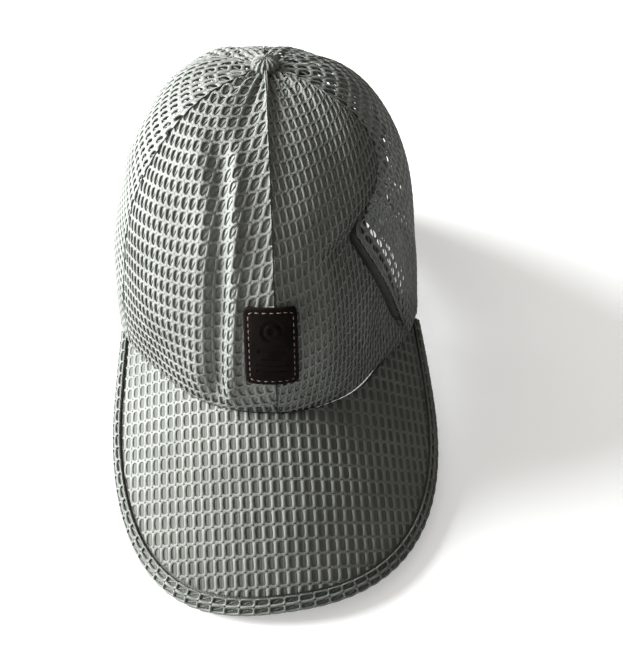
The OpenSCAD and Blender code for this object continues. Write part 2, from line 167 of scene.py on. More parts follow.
def dent(f, z):
    """Hollow of the right front panel, which ends in a sharp fold at its side seam."""
    hollow = DENT * smooth(f, rad(20), rad(58)) + CREASE * smooth(f, rad(48), rad(60))
    hollow = hollow + SLOT * np.exp(-((f - rad(63.4)) / rad(0.55)) ** 2)
    return -hollow * (1 - smooth(f, rad(62.5), rad(64.6))) * dent_share(z)


def dent_share(z):
    return smooth(z, 26, 62) * (1 - smooth(z, 108, 118))


def relief(f, z):
    """How far the cloth stands out from the plain crown."""
    out = dent(f, z)
    for at_f, at_z, wide_f, wide_z, size in HUMPS:
        turn = turned(f - rad(at_f)) / rad(wide_f)
        out = out + size * np.exp(-turn * turn - ((z - at_z) / wide_z) ** 2)
    level = np.clip((z - SEAM_H) / (CROWN_H - SEAM_H), 0, 0.999)
    x = OPEN_A * np.sin(f) * (1 - level ** TOP_ROUND) ** (1 / FRONT_ROUND)
    for at_x, lean, wide, size in PLEATS:
        turn = (x - at_x - lean * (z - SEAM_H)) / wide
        fade = smooth(z, 44, 66) * (1 - smooth(z, 134, 147)) * (np.cos(f) > 0)
        out = out + size * np.exp(-turn * turn) * fade
    prow = 2.4 * np.exp(-np.abs(f) / rad(7)) * smooth(z, 52, 80)
    ripple = 0.45 * np.sin(5 * f + z / 17) * np.sin(z / 23 + 2 * f) + 0.3 * np.sin(11 * f - z / 9)
    gathers = 0.45 * np.sin(22 * f) * smooth(z, 143, 150)
    return out + prow + ripple * smooth(z, 20, 50) + gathers


def profile_round(f):
    c = np.cos(f)
    return SIDE_ROUND + (np.where(c > 0, FRONT_ROUND, BACK_ROUND) - SIDE_ROUND) * c * c


def base_tables():
    """All round the cap, the angle and height of the crown's lower edge, and u and v of the bill's seam."""
    half = np.radians(np.arange(0, 181, 2.0))
    f = np.concatenate([-half[::-1], half])
    front = np.clip(f, -BILL_END, BILL_END)
    z = np.full_like(f, 35.0)
    for _ in range(4):
        out = relief(front, z)
        u, v = bill_uv((OPEN_A + out) * np.sin(front), MID_Y - (OPEN_B + out) * np.cos(front))
        z = bill_point(u, v, 0.0)[..., 2]
    use = np.abs(f) < BILL_END
    fall = ((PI - np.abs(f)) / (PI - BILL_END)) ** 2
    return f, z * np.where(use, 1, fall), u[use], v[use]


BASE_F, BASE_Z, SEAM_U, SEAM_V = base_tables()


def base_z(f):
    return np.interp(turned(f), BASE_F, BASE_Z)


def seam_v(u):
    """v at which the bill meets the crown."""
    return np.interp(u, SEAM_U, SEAM_V)


def crown_point(f, tau, d, slipped=True):
    """Point of the crown: f around it from the front, tau up its profile, d inwards."""
    f, tau, d = np.broadcast_arrays(np.asarray(f, float), tau, d)
    t = np.sin(tau) ** (2 / TOP_ROUND)
    z = base_z(f) + (CROWN_H - base_z(f)) * t
    out = relief(turned(f), z) - d
    if slipped:
        f = pulled(f, z)
    rho = np.cos(tau) ** (2 / profile_round(f))
    base = base_z(f)
    return np.stack([(OPEN_A + out) * np.sin(f) * rho, MID_Y - (OPEN_B + out) * np.cos(f) * rho,
                     base + (CROWN_H + out - base) * t], -1)


def height_at(f, tau):
    return base_z(f) + (CROWN_H - base_z(f)) * np.sin(tau) ** (2 / TOP_ROUND)


def tau_at(f, z):
    base = base_z(f)
    return np.arcsin(np.clip((z - base) / (CROWN_H - base), 0, 1) ** (TOP_ROUND / 2))


def crown_out(f, tau):
    """Direction out of the crown."""
    return unit(crown_point(f, tau, -1.0) - crown_point(f, tau, 0.0))


def unit(v):
    return v / np.maximum(np.linalg.norm(v, axis=-1, keepdims=True), 1e-9)


def edge_z(f):
    """Height of the arched opening's edge at the back, and 0 elsewhere."""
    share = np.minimum(1, (PI - np.abs(turned(f))) / ARCH_HALF)
    return ARCH_H * np.sqrt(1 - share ** 2)


def edge_tau(f):
    return np.where(edge_z(f) > 0, tau_at(f, edge_z(f)), 0.0)


# ---- Making pieces ----
# Points nearer than this are joined, in metres
JOIN = 2e-6


def piece_for(name, solid, finish, slot, *nodes, body="cap", uv=None):
    """Mesh object from points in mm and faces, riding on a body, that stands for CAD nodes. uv gives each
    point's place in the cloth."""
    points, faces = solid
    mesh = bpy.data.meshes.new(name)
    mesh.from_pydata((np.asarray(points) * MM).tolist(), [], [tuple(map(int, f)) for f in faces])
    if uv is not None:
        layer = mesh.uv_layers.new(name="cloth")
        loops = np.zeros(len(mesh.loops), int)
        mesh.loops.foreach_get("vertex_index", loops)
        layer.data.foreach_set("uv", np.asarray(uv, np.float32)[loops].ravel())
    bm = bmesh.new()
    bm.from_mesh(mesh)
    bmesh.ops.remove_doubles(bm, verts=bm.verts, dist=JOIN)
    bmesh.ops.dissolve_degenerate(bm, edges=bm.edges, dist=JOIN / 2)
    bm.to_mesh(mesh)
    bm.free()
    mesh.polygons.foreach_set("use_smooth", [True] * len(mesh.polygons))
    mesh.materials.append(finish)
    piece = bpy.data.objects.new(name, mesh)
    bpy.context.scene.collection.objects.link(piece)
    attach(piece, body)
    if nodes:
        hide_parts(*nodes)
    return piece


def grid_faces(rows, cols, start=0, closed=False):
    """Faces between neighbours in a grid of points. A closed grid's last column meets its first."""
    faces = []
    for i in range(rows - 1):
        for j in range(cols if closed else cols - 1):
            a, b = start + i * cols + j, start + i * cols + (j + 1) % cols
            faces.append((a, b, b + cols, a + cols))
    return faces


def tube_faces(rows, sides):
    """Faces of a tube made of rings, with both its ends closed."""
    last = (rows - 1) * sides
    ends = [tuple(range(sides))[::-1], tuple(range(last, last + sides))]
    return grid_faces(rows, sides, closed=True) + ends


def run_length(points):
    """Distance of each point along a line of points."""
    return np.concatenate([[0], np.cumsum(np.linalg.norm(np.diff(points, axis=0), axis=1))])


def slab(outer, inner):
    """Closed sheet between two grids of points: its points and faces."""
    rows, cols = outer.shape[:2]
    n = rows * cols
    points = np.concatenate([outer.reshape(-1, 3), inner.reshape(-1, 3)])
    faces = grid_faces(rows, cols) + [f[::-1] for f in grid_faces(rows, cols, n)]
    at = np.arange(n).reshape(rows, cols)
    edge = [*at[0], *at[1:, -1], *at[-1, -2::-1], *at[-2:0:-1, 0]]
    faces += [(a, a + n, b + n, b) for a, b in zip(edge, edge[1:] + edge[:1])]
    return points, faces


def slab_uv(first, second):
    """Places in the cloth of both faces of a slab."""
    uv = np.stack(np.broadcast_arrays(first, second), -1).reshape(-1, 2)
    return np.concatenate([uv, uv])


def oval(half_w, half_t, count, power=2.0):
    """Section with rounded corners, squarer as power grows."""
    turn = np.linspace(0, 2 * PI, count, endpoint=False)
    c, s = np.cos(turn), np.sin(turn)
    return np.stack([half_w * np.sign(c) * np.abs(c) ** (2 / power),
                     half_t * np.sign(s) * np.abs(s) ** (2 / power)], 1)


def sweep(path, side, out, section, scale=1.0, closed=False):
    """Solid with a section, in side and out directions, carried along a path. scale may change along it."""
    scale = np.broadcast_to(scale, len(path))[:, None, None]
    rings = (path[:, None] + side[:, None] * section[None, :, :1] * scale
             + out[:, None] * section[None, :, 1:] * scale)
    rings, sides = rings.reshape(-1, 3), len(section)
    if not closed:
        return rings, tube_faces(len(path), sides)
    last = (len(path) - 1) * sides
    seam = [(last + k, last + (k + 1) % sides, (k + 1) % sides, k) for k in range(sides)]
    return rings, grid_faces(len(path), sides, closed=True) + seam


def along_crown(path, out, section, swell):
    """Solid that follows a line on the crown. swell thickens and thins it."""
    side = unit(np.cross(unit(np.gradient(path, axis=0)), out))
    return sweep(path, side, out, section, swell)


def stitch_row(starts, ends, out, radius):
    """A row of stitches: short thread humps that dive into the cloth at both ends."""
    sides, steps = 6, 6
    t = np.linspace(0, 1, steps)
    rise = radius * (1.5 * np.sin(PI * t) - 0.7)
    swell = radius * (0.55 + 0.45 * np.sin(PI * t))
    along, out = unit(ends - starts), unit(out)
    side = unit(np.cross(along, out))
    turn = np.linspace(0, 2 * PI, sides, endpoint=False)
    middle = starts[:, None] + (ends - starts)[:, None] * t[:, None] + out[:, None] * rise[:, None]
    ring = side[:, None, None] * np.cos(turn)[:, None] + out[:, None, None] * np.sin(turn)[:, None]
    points = middle[:, :, None] + ring * swell[:, None, None]
    one, size = tube_faces(steps, sides), steps * sides
    faces = [tuple(k + i * size for k in face) for i in range(len(starts)) for face in one]
    return points.reshape(-1, 3), faces


def along_line(points, pitch, share):
    """Starts and ends of dashes along a line of points: each pitch mm apart, a share of it long."""
    distance = run_length(points)
    count = int(distance[-1] / pitch)
    first = (np.arange(count) + (1 - share) / 2) * distance[-1] / count
    second = first + share * distance[-1] / count
    place = np.arange(len(points))
    return np.interp(first, distance, place), np.interp(second, distance, place)


# ---- Netting: one knitted cell, repeated over a lattice and laid on a surface ----
# Points along each side of a cell, and round it
CELL_SIDE = 5
RING = 4 * CELL_SIDE
# Points of a netting that fall into one of these parts of a mm are joined
FINENESS = 50


def cell(open_a, open_b, power, crest, row_crest, pin_a, pin_b):
    """One cell: points as (a, b, height), ring after ring, from the rib's crest to the hole and back below.
    Half of the hole each way and its squareness, heights of the ribs beside it and over it, and half of the
    pinholes at the cell's corners."""
    along = np.linspace(-1, 1, CELL_SIDE)
    bs, avs = along * (0.5 - pin_b), along * (0.5 - pin_a)
    half = np.full(CELL_SIDE, 0.5)
    border = np.concatenate([np.stack([half, bs], 1), np.stack([-avs, half], 1),
                             np.stack([-half, -bs], 1), np.stack([avs, -half], 1)])
    side_h = crest * (0.45 + 0.55 * np.cos(along * 1.35))
    row_h = row_crest * (1 - 0.25 * np.cos(along * 1.3))
    high = np.concatenate([side_h, row_h, side_h, row_h])
    turn = rad(np.concatenate([np.linspace(-48, 48, CELL_SIDE) + 90 * k for k in range(4)]))
    hole = np.stack([open_a * np.sign(np.cos(turn)) * np.abs(np.cos(turn)) ** (2 / power),
                     open_b * np.sign(np.sin(turn)) * np.abs(np.sin(turn)) ** (2 / power)], 1)
    # Share of the way to the hole, share of the crest's height, and drop, for each ring
    section = [(0.0, 1, 0), (0.42, 0.86, 0), (0.82, 0.38, 0), (1.0, 0, 0.12), (0.8, 0, 0.42), (0.0, 0, 0.5)]
    rings = [np.column_stack([border + (hole - border) * share, high * rise - fall])
             for share, rise, fall in section]
    return np.concatenate(rings), len(rings)


def netting(origin, e1, e2, cells, template, lay, thread=0.26, flip=False):
    """Points, faces and cloth places of a netting. lay(p, q, h) gives places on the surface and how far
    inside the outline each flat point is, cells is the range of columns and rows, and thread is half of the
    slanting thread's width."""
    pts, rings = template
    ii, jj = np.meshgrid(np.arange(*cells[0]), np.arange(*cells[1]), indexing="ij")
    ij = np.stack([ii.ravel(), jj.ravel()], 1).astype(float)
    centre = origin + ij[:, :1] * e1 + ij[:, 1:] * e2
    inside = lay(centre[:, 0], centre[:, 1], 0.0)[1]
    reach = 0.62 * max(np.linalg.norm(e1), np.linalg.norm(e2))
    ij = ij[inside > -reach]
    count, size = len(ij), len(pts)
    a = (ij[:, 0, None] + pts[None, :, 0]).ravel()
    b = (ij[:, 1, None] + pts[None, :, 1]).ravel()
    h = np.tile(pts[:, 2], count)
    layer = np.tile(np.repeat(np.arange(rings), RING), count)
    shared = (layer == 0) | (layer == rings - 1)
    own = np.where(shared, -1, np.arange(len(a)))
    key = np.stack([np.round(a * 2000), np.round(b * 2000), layer, own], 1).astype(np.int64)
    _, first, index = np.unique(key, axis=0, return_index=True, return_inverse=True)
    index = index.ravel().reshape(count, size)
    a, b, h = a[first], b[first], h[first]
    faces = [index[:, list(quad)] for quad in grid_faces(rings, RING, closed=True)]
    # Close the rim of the cloth and the pinholes between cells
    top, low = index[:, :RING], index[:, (rings - 1) * RING:]
    ends = np.stack([top, np.roll(top, -1, 1), low, np.roll(low, -1, 1)], -1).reshape(-1, 4)
    pair = np.sort(ends[:, :2], 1)
    _, inverse, uses = np.unique(pair, axis=0, return_inverse=True, return_counts=True)
    walls = ends[uses[inverse.ravel()] == 1][:, [1, 0, 2, 3]]

    def on_cloth(a, b, h):
        return lay(origin[0] + a * e1[0] + b * e2[0], origin[1] + a * e1[1] + b * e2[1], h)
    points, _ = on_cloth(a, b, h)
    more, more_faces, more_places = threads(ij, on_cloth, thread / np.linalg.norm(e1))
    faces = np.concatenate([*faces, walls, more_faces + len(points)])
    points = np.concatenate([points, more])
    places = np.concatenate([np.stack([a, b], 1), more_places])
    return merged(points, faces[:, ::-1] if flip else faces, places)


def threads(ij, on_cloth, wide):
    """The slanting thread that crosses the back of each cell."""
    steps, sides = 6, 4
    t = np.linspace(-1, 1, steps)
    line_a = 0.36 * t + 0.07 * np.cos(t * PI / 2)
    line_b = 0.44 * t
    turn = np.linspace(0, 2 * PI, sides, endpoint=False) + PI / 4
    a = line_a[:, None] + np.cos(turn) * wide
    b = line_b[:, None] + 0 * turn
    h = -0.55 + 0.12 * np.cos(t[:, None] * PI / 2) + np.sin(turn) * 0.22
    shape = np.stack([a.ravel(), b.ravel(), h.ravel()], 1)
    at_a = (ij[:, 0, None] + shape[None, :, 0]).ravel()
    at_b = (ij[:, 1, None] + shape[None, :, 1]).ravel()
    at_h = np.tile(shape[:, 2], len(ij))
    points, inside = on_cloth(at_a, at_b, at_h)
    whole = inside.reshape(len(ij), -1).min(1) > -1.0
    offsets = (np.arange(len(ij)) * len(shape))[whole]
    faces = (np.array(tube_faces(steps, sides)) + offsets[:, None, None]).reshape(-1, 4)
    return points, faces, np.stack([at_a, at_b], 1)


def merged(points, faces, places):
    """The same netting with points that fall together made one, and the faces that vanish left out."""
    spots = np.round(points * FINENESS).astype(int)
    _, first, index = np.unique(spots, axis=0, return_index=True, return_inverse=True)
    faces = index.ravel()[faces]
    same = faces == np.roll(faces, -1, 1)
    crossed = (faces[:, 0] == faces[:, 2]) | (faces[:, 1] == faces[:, 3])
    four, three = (same.sum(1) == 0) & ~crossed, (same.sum(1) == 1) & ~crossed
    triangles = faces[three][~same[three]].reshape(-1, 3)
    return points[first], faces[four].tolist() + triangles.tolist(), places[first]


# ---- Flat cloth to crown: p across a panel, q up it, both in mm ----
LEVELS, COLUMNS = 150, 72
# Cloth turned in at the seams and hems, and the gap between the netting and a seam's line
ALLOWANCE, SEAM_GAP = 5.0, 0.3


def gore(f1, f2, anchor, tuck):
    """Lays flat netting on the panel between two seams. p = 0 is the panel's middle, q = 0 is level with
    the middle of its lower edge. The cloth lies true at the anchor, a share of the way across, and beside
    the dent it stops short of its last seam by the tuck."""
    middle = (f1 + f2) / 2
    tau = np.linspace(0, TOP_TAU, 400)
    line = crown_point(middle, tau, 0.0, slipped=False)
    arc = run_length(line)
    levels = np.linspace(-45, arc[-1], LEVELS)
    level_z = np.where(levels < 0, base_z(middle) + levels, np.interp(levels, arc, height_at(middle, tau)))
    grid_s, grid_z = np.meshgrid(np.linspace(0, 1, COLUMNS + 1), level_z)
    grid_f = f1 + (f2 - tuck * dent_share(grid_z) - f1) * grid_s

    def widths(slipped):
        flat = crown_point(grid_f, tau_at(grid_f, grid_z), 0.0, slipped)[..., :2]
        steps = np.linalg.norm(np.diff(flat, axis=1), axis=2)
        return np.concatenate([np.zeros((LEVELS, 1)), np.cumsum(steps, 1)], 1)
    width, plain = widths(True), widths(False)
    held, centre = round(anchor * COLUMNS), COLUMNS // 2
    width += (plain[:, held] - plain[:, centre] - width[:, held])[:, None]

    def lay(p, q, h):
        row = np.clip((q - levels[0]) / (levels[1] - levels[0]), 0, LEVELS - 1.001)
        i, t = row.astype(int), row % 1
        z = level_z[i] * (1 - t) + level_z[i + 1] * t
        table = width[i] * (1 - t)[:, None] + width[i + 1] * t[:, None]
        first, last = table[:, 0], table[:, -1]
        held_in = np.clip(p, first + SEAM_GAP, last - SEAM_GAP)
        limit = np.where(last - first < 2 * SEAM_GAP, (first + last) / 2, held_in)
        k = np.clip((table < limit[:, None]).sum(1) - 1, 0, COLUMNS - 1)[:, None]
        left, right = np.take_along_axis(table, k, 1)[:, 0], np.take_along_axis(table, k + 1, 1)[:, 0]
        share = (k[:, 0] + np.clip((limit - left) / np.maximum(right - left, 1e-6), 0, 1)) / COLUMNS
        f = f1 + (f2 - tuck * dent_share(z) - f1) * share
        low = np.maximum(base_z(f), edge_z(f)) + SEAM_GAP
        spare = np.minimum(np.minimum(p - first, last - p), np.minimum(z - low, arc[-1] - q))
        return crown_point(f, np.minimum(tau_at(f, np.maximum(z, low)), TOP_TAU), -np.asarray(h)), spare
    shown = levels >= 0
    across_panel = (width[:, -1] - width[:, 0])[shown]
    wide, high = float(across_panel.max()), float(arc[-1])
    lay.size = wide + 2 * ALLOWANCE, high + 2 * ALLOWANCE
    lay.area = float(across_panel.sum() * (levels[1] - levels[0])) + ALLOWANCE * (2 * high + wide)
    return lay


# ---- Materials ----
def material(name, rough=0.6, sheen=0.0, metallic=0.0, specular=0.35):
    mat = bpy.data.materials.new(name)
    mat.use_nodes = True
    shader = mat.node_tree.nodes["Principled BSDF"]
    shader.inputs["Roughness"].default_value = rough
    shader.inputs["Metallic"].default_value = metallic
    shader.inputs["Sheen Weight"].default_value = sheen
    shader.inputs["Specular IOR Level"].default_value = specular
    return mat, mat.node_tree, shader


def node(tree, kind, **values):
    """Shader node. A value is another node's output, or the setting of a socket or of the node itself."""
    made = tree.nodes.new(kind)
    for key, value in values.items():
        if isinstance(value, bpy.types.NodeSocket):
            tree.links.new(value, made.inputs[key])
        elif key in made.inputs:
            made.inputs[key].default_value = value
        else:
            setattr(made, key, value)
    return made


def placed(tree, source="Object", turn=(0.0, 0.0, 0.0), scale=(1.0, 1.0, 1.0)):
    """Texture place, turned and stretched."""
    place = node(tree, "ShaderNodeTexCoord").outputs[source]
    return node(tree, "ShaderNodeMapping", Vector=place, Rotation=turn, Scale=scale).outputs["Vector"]


def noise_mix(tree, shader, scale, dark, light, detail=3.0):
    """Base colour that wanders between two, by noise."""
    noise = node(tree, "ShaderNodeTexNoise", Vector=placed(tree), Scale=scale, Detail=detail)
    ramp = node(tree, "ShaderNodeValToRGB", Fac=noise.outputs["Fac"])
    for element, position, colour in zip(ramp.color_ramp.elements, (0.32, 0.68), (dark, light)):
        element.position, element.color = position, (*colour, 1)
    tree.links.new(ramp.outputs["Color"], shader.inputs["Base Color"])
    return ramp.outputs["Color"]


def add_bump(tree, shader, height, strength, distance):
    made = node(tree, "ShaderNodeBump", Height=height, Strength=strength, Distance=distance)
    tree.links.new(made.outputs["Normal"], shader.inputs["Normal"])


def grain_bump(tree, shader, scale, strength, distance, stretch=(1.0, 1.0, 1.0)):
    grain = node(tree, "ShaderNodeTexNoise", Vector=placed(tree, scale=stretch), Scale=scale, Detail=2.0)
    add_bump(tree, shader, grain.outputs["Fac"], strength, distance)


def waves(tree, vector, scale, distortion=0.5):
    return node(tree, "ShaderNodeTexWave", Vector=vector, Scale=scale, Distortion=distortion).outputs["Fac"]


def netting_material():
    """Spun polyester yarn: fine slanting fibres, a soft sheen and a slightly uneven dye."""
    mat, tree, shader = material("netting_yarn", rough=0.55, sheen=0.06)
    noise_mix(tree, shader, 60.0, (0.127, 0.133, 0.120), (0.172, 0.179, 0.163))
    add_bump(tree, shader, waves(tree, placed(tree, "UV", (0.0, 0.0, rad(38))), 5.5, 1.4), 0.35, 0.00012)
    return mat


def knit_material(name, dark, light, translucent=0.0, ribs=260.0, turn=0.0):
    """Close cloth with fine ribs. A translucent share lets light through."""
    mat, tree, shader = material(name, rough=0.8, sheen=0.05, specular=0.2)
    colour = noise_mix(tree, shader, 90.0, dark, light)
    add_bump(tree, shader, waves(tree, placed(tree, turn=(0.0, turn, turn)), ribs, 0.6), 0.4, 0.0002)
    if translucent:
        glow = node(tree, "ShaderNodeBsdfTranslucent", Color=colour)
        mixed = node(tree, "ShaderNodeMixShader", Fac=translucent)
        tree.links.new(shader.outputs["BSDF"], mixed.inputs[1])
        tree.links.new(glow.outputs["BSDF"], mixed.inputs[2])
        tree.links.new(mixed.outputs["Shader"], tree.nodes["Material Output"].inputs["Surface"])
    return mat


def webbing_material(name, dark, light, along, across):
    """Woven tape: rows of yarn that cross, counted along and across its UV place in mm."""
    mat, tree, shader = material(name, rough=0.7, sheen=0.2)
    noise_mix(tree, shader, 120.0, dark, light)
    warp = waves(tree, placed(tree, "UV", scale=(along, 0.0, 0.0)), 1.0, 0.2)
    weft = waves(tree, placed(tree, "UV", (0.0, 0.0, rad(90)), (across, across, 0.0)), 1.0, 0.2)
    weave = node(tree, "ShaderNodeMath", operation="MULTIPLY")
    tree.links.new(warp, weave.inputs[0])
    tree.links.new(weft, weave.inputs[1])
    add_bump(tree, shader, weave.outputs[0], 0.6, 0.0003)
    return mat


def thread_material(name, dark, light):
    mat, tree, shader = material(name, rough=0.5, sheen=0.1)
    noise_mix(tree, shader, 400.0, dark, light)
    add_bump(tree, shader, waves(tree, placed(tree, turn=(rad(35), rad(35), 0.0)), 700.0, 0.5), 0.5, 0.0001)
    return mat


def leather_material():
    """Smooth dark leather with a fine pebble grain, worn a little lighter in places."""
    mat, tree, shader = material("patch_leather", rough=0.68, specular=0.05)
    noise_mix(tree, shader, 150.0, (0.0036, 0.0024, 0.002), (0.008, 0.0052, 0.0044), 6.0)
    cells = node(tree, "ShaderNodeTexVoronoi", Vector=placed(tree), Scale=1700.0)
    add_bump(tree, shader, cells.outputs["Distance"], 0.35, 0.00015)
    return mat


def metal_material(name, dark, light, rough):
    """Satin metal, brushed lengthwise and dulled in patches."""
    mat, tree, shader = material(name, rough=rough, metallic=1.0, specular=0.5)
    noise_mix(tree, shader, 220.0, dark, light, 6.0)
    grain_bump(tree, shader, 900.0, 0.25, 0.00006, (0.05, 0.05, 1.0))
    return mat


def shaded_board_material():
    # Dark plastic as painted shade, standing for the shaded floors of the bill's cells.
    mat, tree, shader = material("bill_board_painted_shade", rough=0.75)
    noise_mix(tree, shader, 70.0, (0.038, 0.041, 0.037), (0.056, 0.06, 0.054))
    grain_bump(tree, shader, 1500.0, 0.3, 0.0001)
    return mat


NETTING = netting_material()
LINING = knit_material("lining_knit", (0.27, 0.279, 0.258), (0.33, 0.34, 0.316), translucent=0.22)
TAPE = webbing_material("ribbed_tape", (0.11, 0.12, 0.11), (0.15, 0.163, 0.15), 0.9, 0.45)
# Near black, as painted shade: it darkens the slot under the right front fold and the line along the bill's
# seam.
SHADE_SEAM_TAPE = webbing_material("painted_shade_seam_tape", (0.022, 0.023, 0.021), (0.036, 0.038, 0.035), 0.9, 0.45)
# Darker than the yarn, as painted shade on the floors of the bill's cells.
SHADED_BACKING = knit_material("backing_knit_painted_shade", (0.086, 0.09, 0.08), (0.112, 0.117, 0.105))
BAND_CORE = knit_material("band_ply", (0.07, 0.076, 0.069), (0.10, 0.108, 0.099))
SWEATBAND = knit_material("sweatband_twill", (0.09, 0.098, 0.09), (0.13, 0.14, 0.13), ribs=180.0,
                          turn=rad(45))
LABEL = webbing_material("label_satin", (0.45, 0.45, 0.43), (0.53, 0.53, 0.51), 1.6, 0.8)
WEBBING = webbing_material("strap_webbing", (0.155, 0.172, 0.155), (0.21, 0.23, 0.21), 0.5, 0.4)
LEATHER = leather_material()
PATCH_THREAD = thread_material("patch_thread", (0.12, 0.08, 0.065), (0.21, 0.15, 0.125))
RIM_THREAD = thread_material("rim_thread", (0.10, 0.11, 0.10), (0.15, 0.163, 0.15))
CLASP_METAL = metal_material("clasp_metal", (0.36, 0.34, 0.31), (0.52, 0.50, 0.47), 0.36)
BUTTON_METAL = metal_material("button_metal", (0.62, 0.62, 0.62), (0.74, 0.74, 0.73), 0.3)
SHADED_BOARD = shaded_board_material()


# ---- Crown panels ----
FRONT_CELL = cell(0.315, 0.405, 3.0, 0.42, 0.24, 0.085, 0.05)
SIDE_CELL = cell(0.265, 0.355, 2.5, 0.45, 0.35, 0.07, 0.04)
OPEN_CELL = cell(0.30, 0.385, 2.2, 0.35, 0.3, 0.07, 0.04)
PANELS = {
    # name: first and last angle, cell width and height, rise of a row and lean of a column for each mm,
    # anchor, tuck, cell, and half of the thread's width
    "front_left": (-FRONT_SEAM, 0.0, 3.95, 5.8, 0.31, -0.12, 0.8, 0.0, FRONT_CELL, 0.30),
    "front_right": (0.0, FRONT_SEAM, 2.95, 5.4, 0.18, 0.16, 0.0, rad(2.0), FRONT_CELL, 0.34),
    "side_left": (-BACK_SEAM, -FRONT_SEAM, 3.95, 5.7, -0.06, 0.0, 0.5, 0.0, SIDE_CELL, 0.40),
    "side_right": (FRONT_SEAM, BACK_SEAM, 4.1, 5.9, 0.06, 0.0, 1.0, 0.0, OPEN_CELL, 0.38),
    "back_left": (-PI, -BACK_SEAM, 4.1, 5.9, -0.08, 0.05, 0.5, 0.0, SIDE_CELL, 0.40),
    "back_right": (BACK_SEAM, PI, 4.1, 5.9, 0.08, -0.05, 0.5, 0.0, SIDE_CELL, 0.40),
}


def crown_panel(name):
    f1, f2, cell_w, cell_h, rise, lean, anchor, tuck, template, thread = PANELS[name]
    e1, e2 = np.array([cell_w, cell_w * rise]), np.array([cell_h * lean, cell_h])
    lay = gore(f1, f2, anchor, tuck)
    first, columns, rows = np.array([0.0, 2.0]), (-40, 41), (-20, 46)
    points, faces, uv = netting(first, e1, e2, (columns, rows), template, lay, thread)
    piece = piece_for(f"{name}_netting", (points, faces), NETTING, "netting", f"{name}_panel", uv=uv)
    return lay


gores = {name: crown_panel(name) for name in PANELS}


# ---- Layers inside the crown ----
LINING_AT, LINING_T = 0.62, 0.3
TAPE_AT, TAPE_T, TAPE_TOP = 2.3, 0.5, rad(86)
SWEAT_AT, SWEAT_T, SWEAT_H = 3.1, 2.0, 30.0
SWEAT_STOP = PI - ARCH_HALF - rad(8)
BINDING_W, BINDING_T = 9.0, 0.5


def lining(name, f1, f2):
    """Knit behind a front panel. Beside the dent it stops short of f2 by the panel's tuck."""
    low, high, tuck = rad(0.6), rad(86), PANELS[name][7]
    share = np.linspace(0, 1, 150)
    tau = low + (high - low) * np.linspace(0, 1, 80)[:, None] + 0 * share
    plain = f1 + (f2 - f1) * share
    f = plain - tuck * dent_share(height_at(plain, tau)) * share
    solid = slab(crown_point(f, tau, LINING_AT), crown_point(f, tau, LINING_AT + LINING_T))
    piece = piece_for(f"{name}_lining_knit", solid, LINING, "lining", f"{name}_lining")


lining("front_left", -FRONT_SEAM + rad(0.4), -rad(0.2))
lining("front_right", rad(0.2), FRONT_SEAM - rad(0.4))


def seam_tape(node_name, angle, half_deg, low, under):
    """Ribbed tape inside a seam, a little thicker along its two rows of stitches. It keeps its width to the
    top, where every other tape goes under its neighbours."""
    across_tape = np.linspace(-1, 1, 13)
    crown = 0.14 * np.cos(across_tape * PI * 2)
    tau = low + (TAPE_TOP - low) * np.linspace(0, 1, 70)[:, None] + 0 * across_tape
    angles = angle + np.minimum(rad(half_deg) / np.cos(tau) ** (2 / TOP_ROUND), rad(33)) * across_tape
    depth = TAPE_AT + under * smooth(tau, rad(55), rad(70))
    outer = crown_point(angles, tau, depth)
    inner = crown_point(angles, tau, depth + TAPE_T + crown)
    solid = slab(outer, inner)
    row_step, width = 1.4, 8
    uv = slab_uv(np.cumsum(np.full(tau.shape, row_step), 0), np.linspace(0, width, len(across_tape)))
    # The tape's near-black colour is painted shade, which darkens the slot under the right front fold.
    piece_for(f"{node_name}_ribbed", solid, SHADE_SEAM_TAPE, "tape", node_name, uv=uv)


BACK_TAPE_LOW = float(tau_at(PI, ARCH_H + BINDING_W)) + rad(3)
TAPES = {
    # name: angle, half of its width in degrees, angle of its lower end, and how far it dips under the others
    "front_seam_tape": (0.0, 3, rad(3), 0.0), "left_seam_tape": (-FRONT_SEAM, 4, rad(3), 0.7),
    "right_seam_tape": (FRONT_SEAM, 4, rad(3), 0.7), "back_left_tape": (-BACK_SEAM, 4, rad(3), 0.0),
    "back_right_tape": (BACK_SEAM, 4, rad(3), 0.0), "back_seam_tape": (PI, 4, BACK_TAPE_LOW, 0.7),
}
for tape_name, tape in TAPES.items():
    seam_tape(tape_name, *tape)


def seam_ridge(name, angle, low):
    """The two turned-in edges of a seam, with the line of stitches sunk between them."""
    tau = np.linspace(low, rad(87), 220)
    half = [(0.5, -1.2), (0.7, -0.8), (0.58, -0.5), (0.4, -0.38), (0.16, -0.5), (0.0, -0.95)]
    section = np.array(half[1:] + [(-x, out) for x, out in half[-2::-1]] + half[:1])
    puckers = 1 + 0.16 * np.sin(np.linspace(0, 42 * 2 * PI, len(tau)))
    solid = along_crown(crown_point(angle, tau, 0.0), crown_out(angle, tau), section, puckers)
    piece_for(name, solid, NETTING, "netting")


for seam_name, seam_angle in (("centre_front_seam", 0.0), ("left_front_seam", -FRONT_SEAM),
                              ("right_front_seam", FRONT_SEAM), ("left_back_seam", -BACK_SEAM),
                              ("right_back_seam", BACK_SEAM), ("centre_back_seam", PI)):
    seam_ridge(seam_name, seam_angle, float(edge_tau(seam_angle)) + rad(0.5))


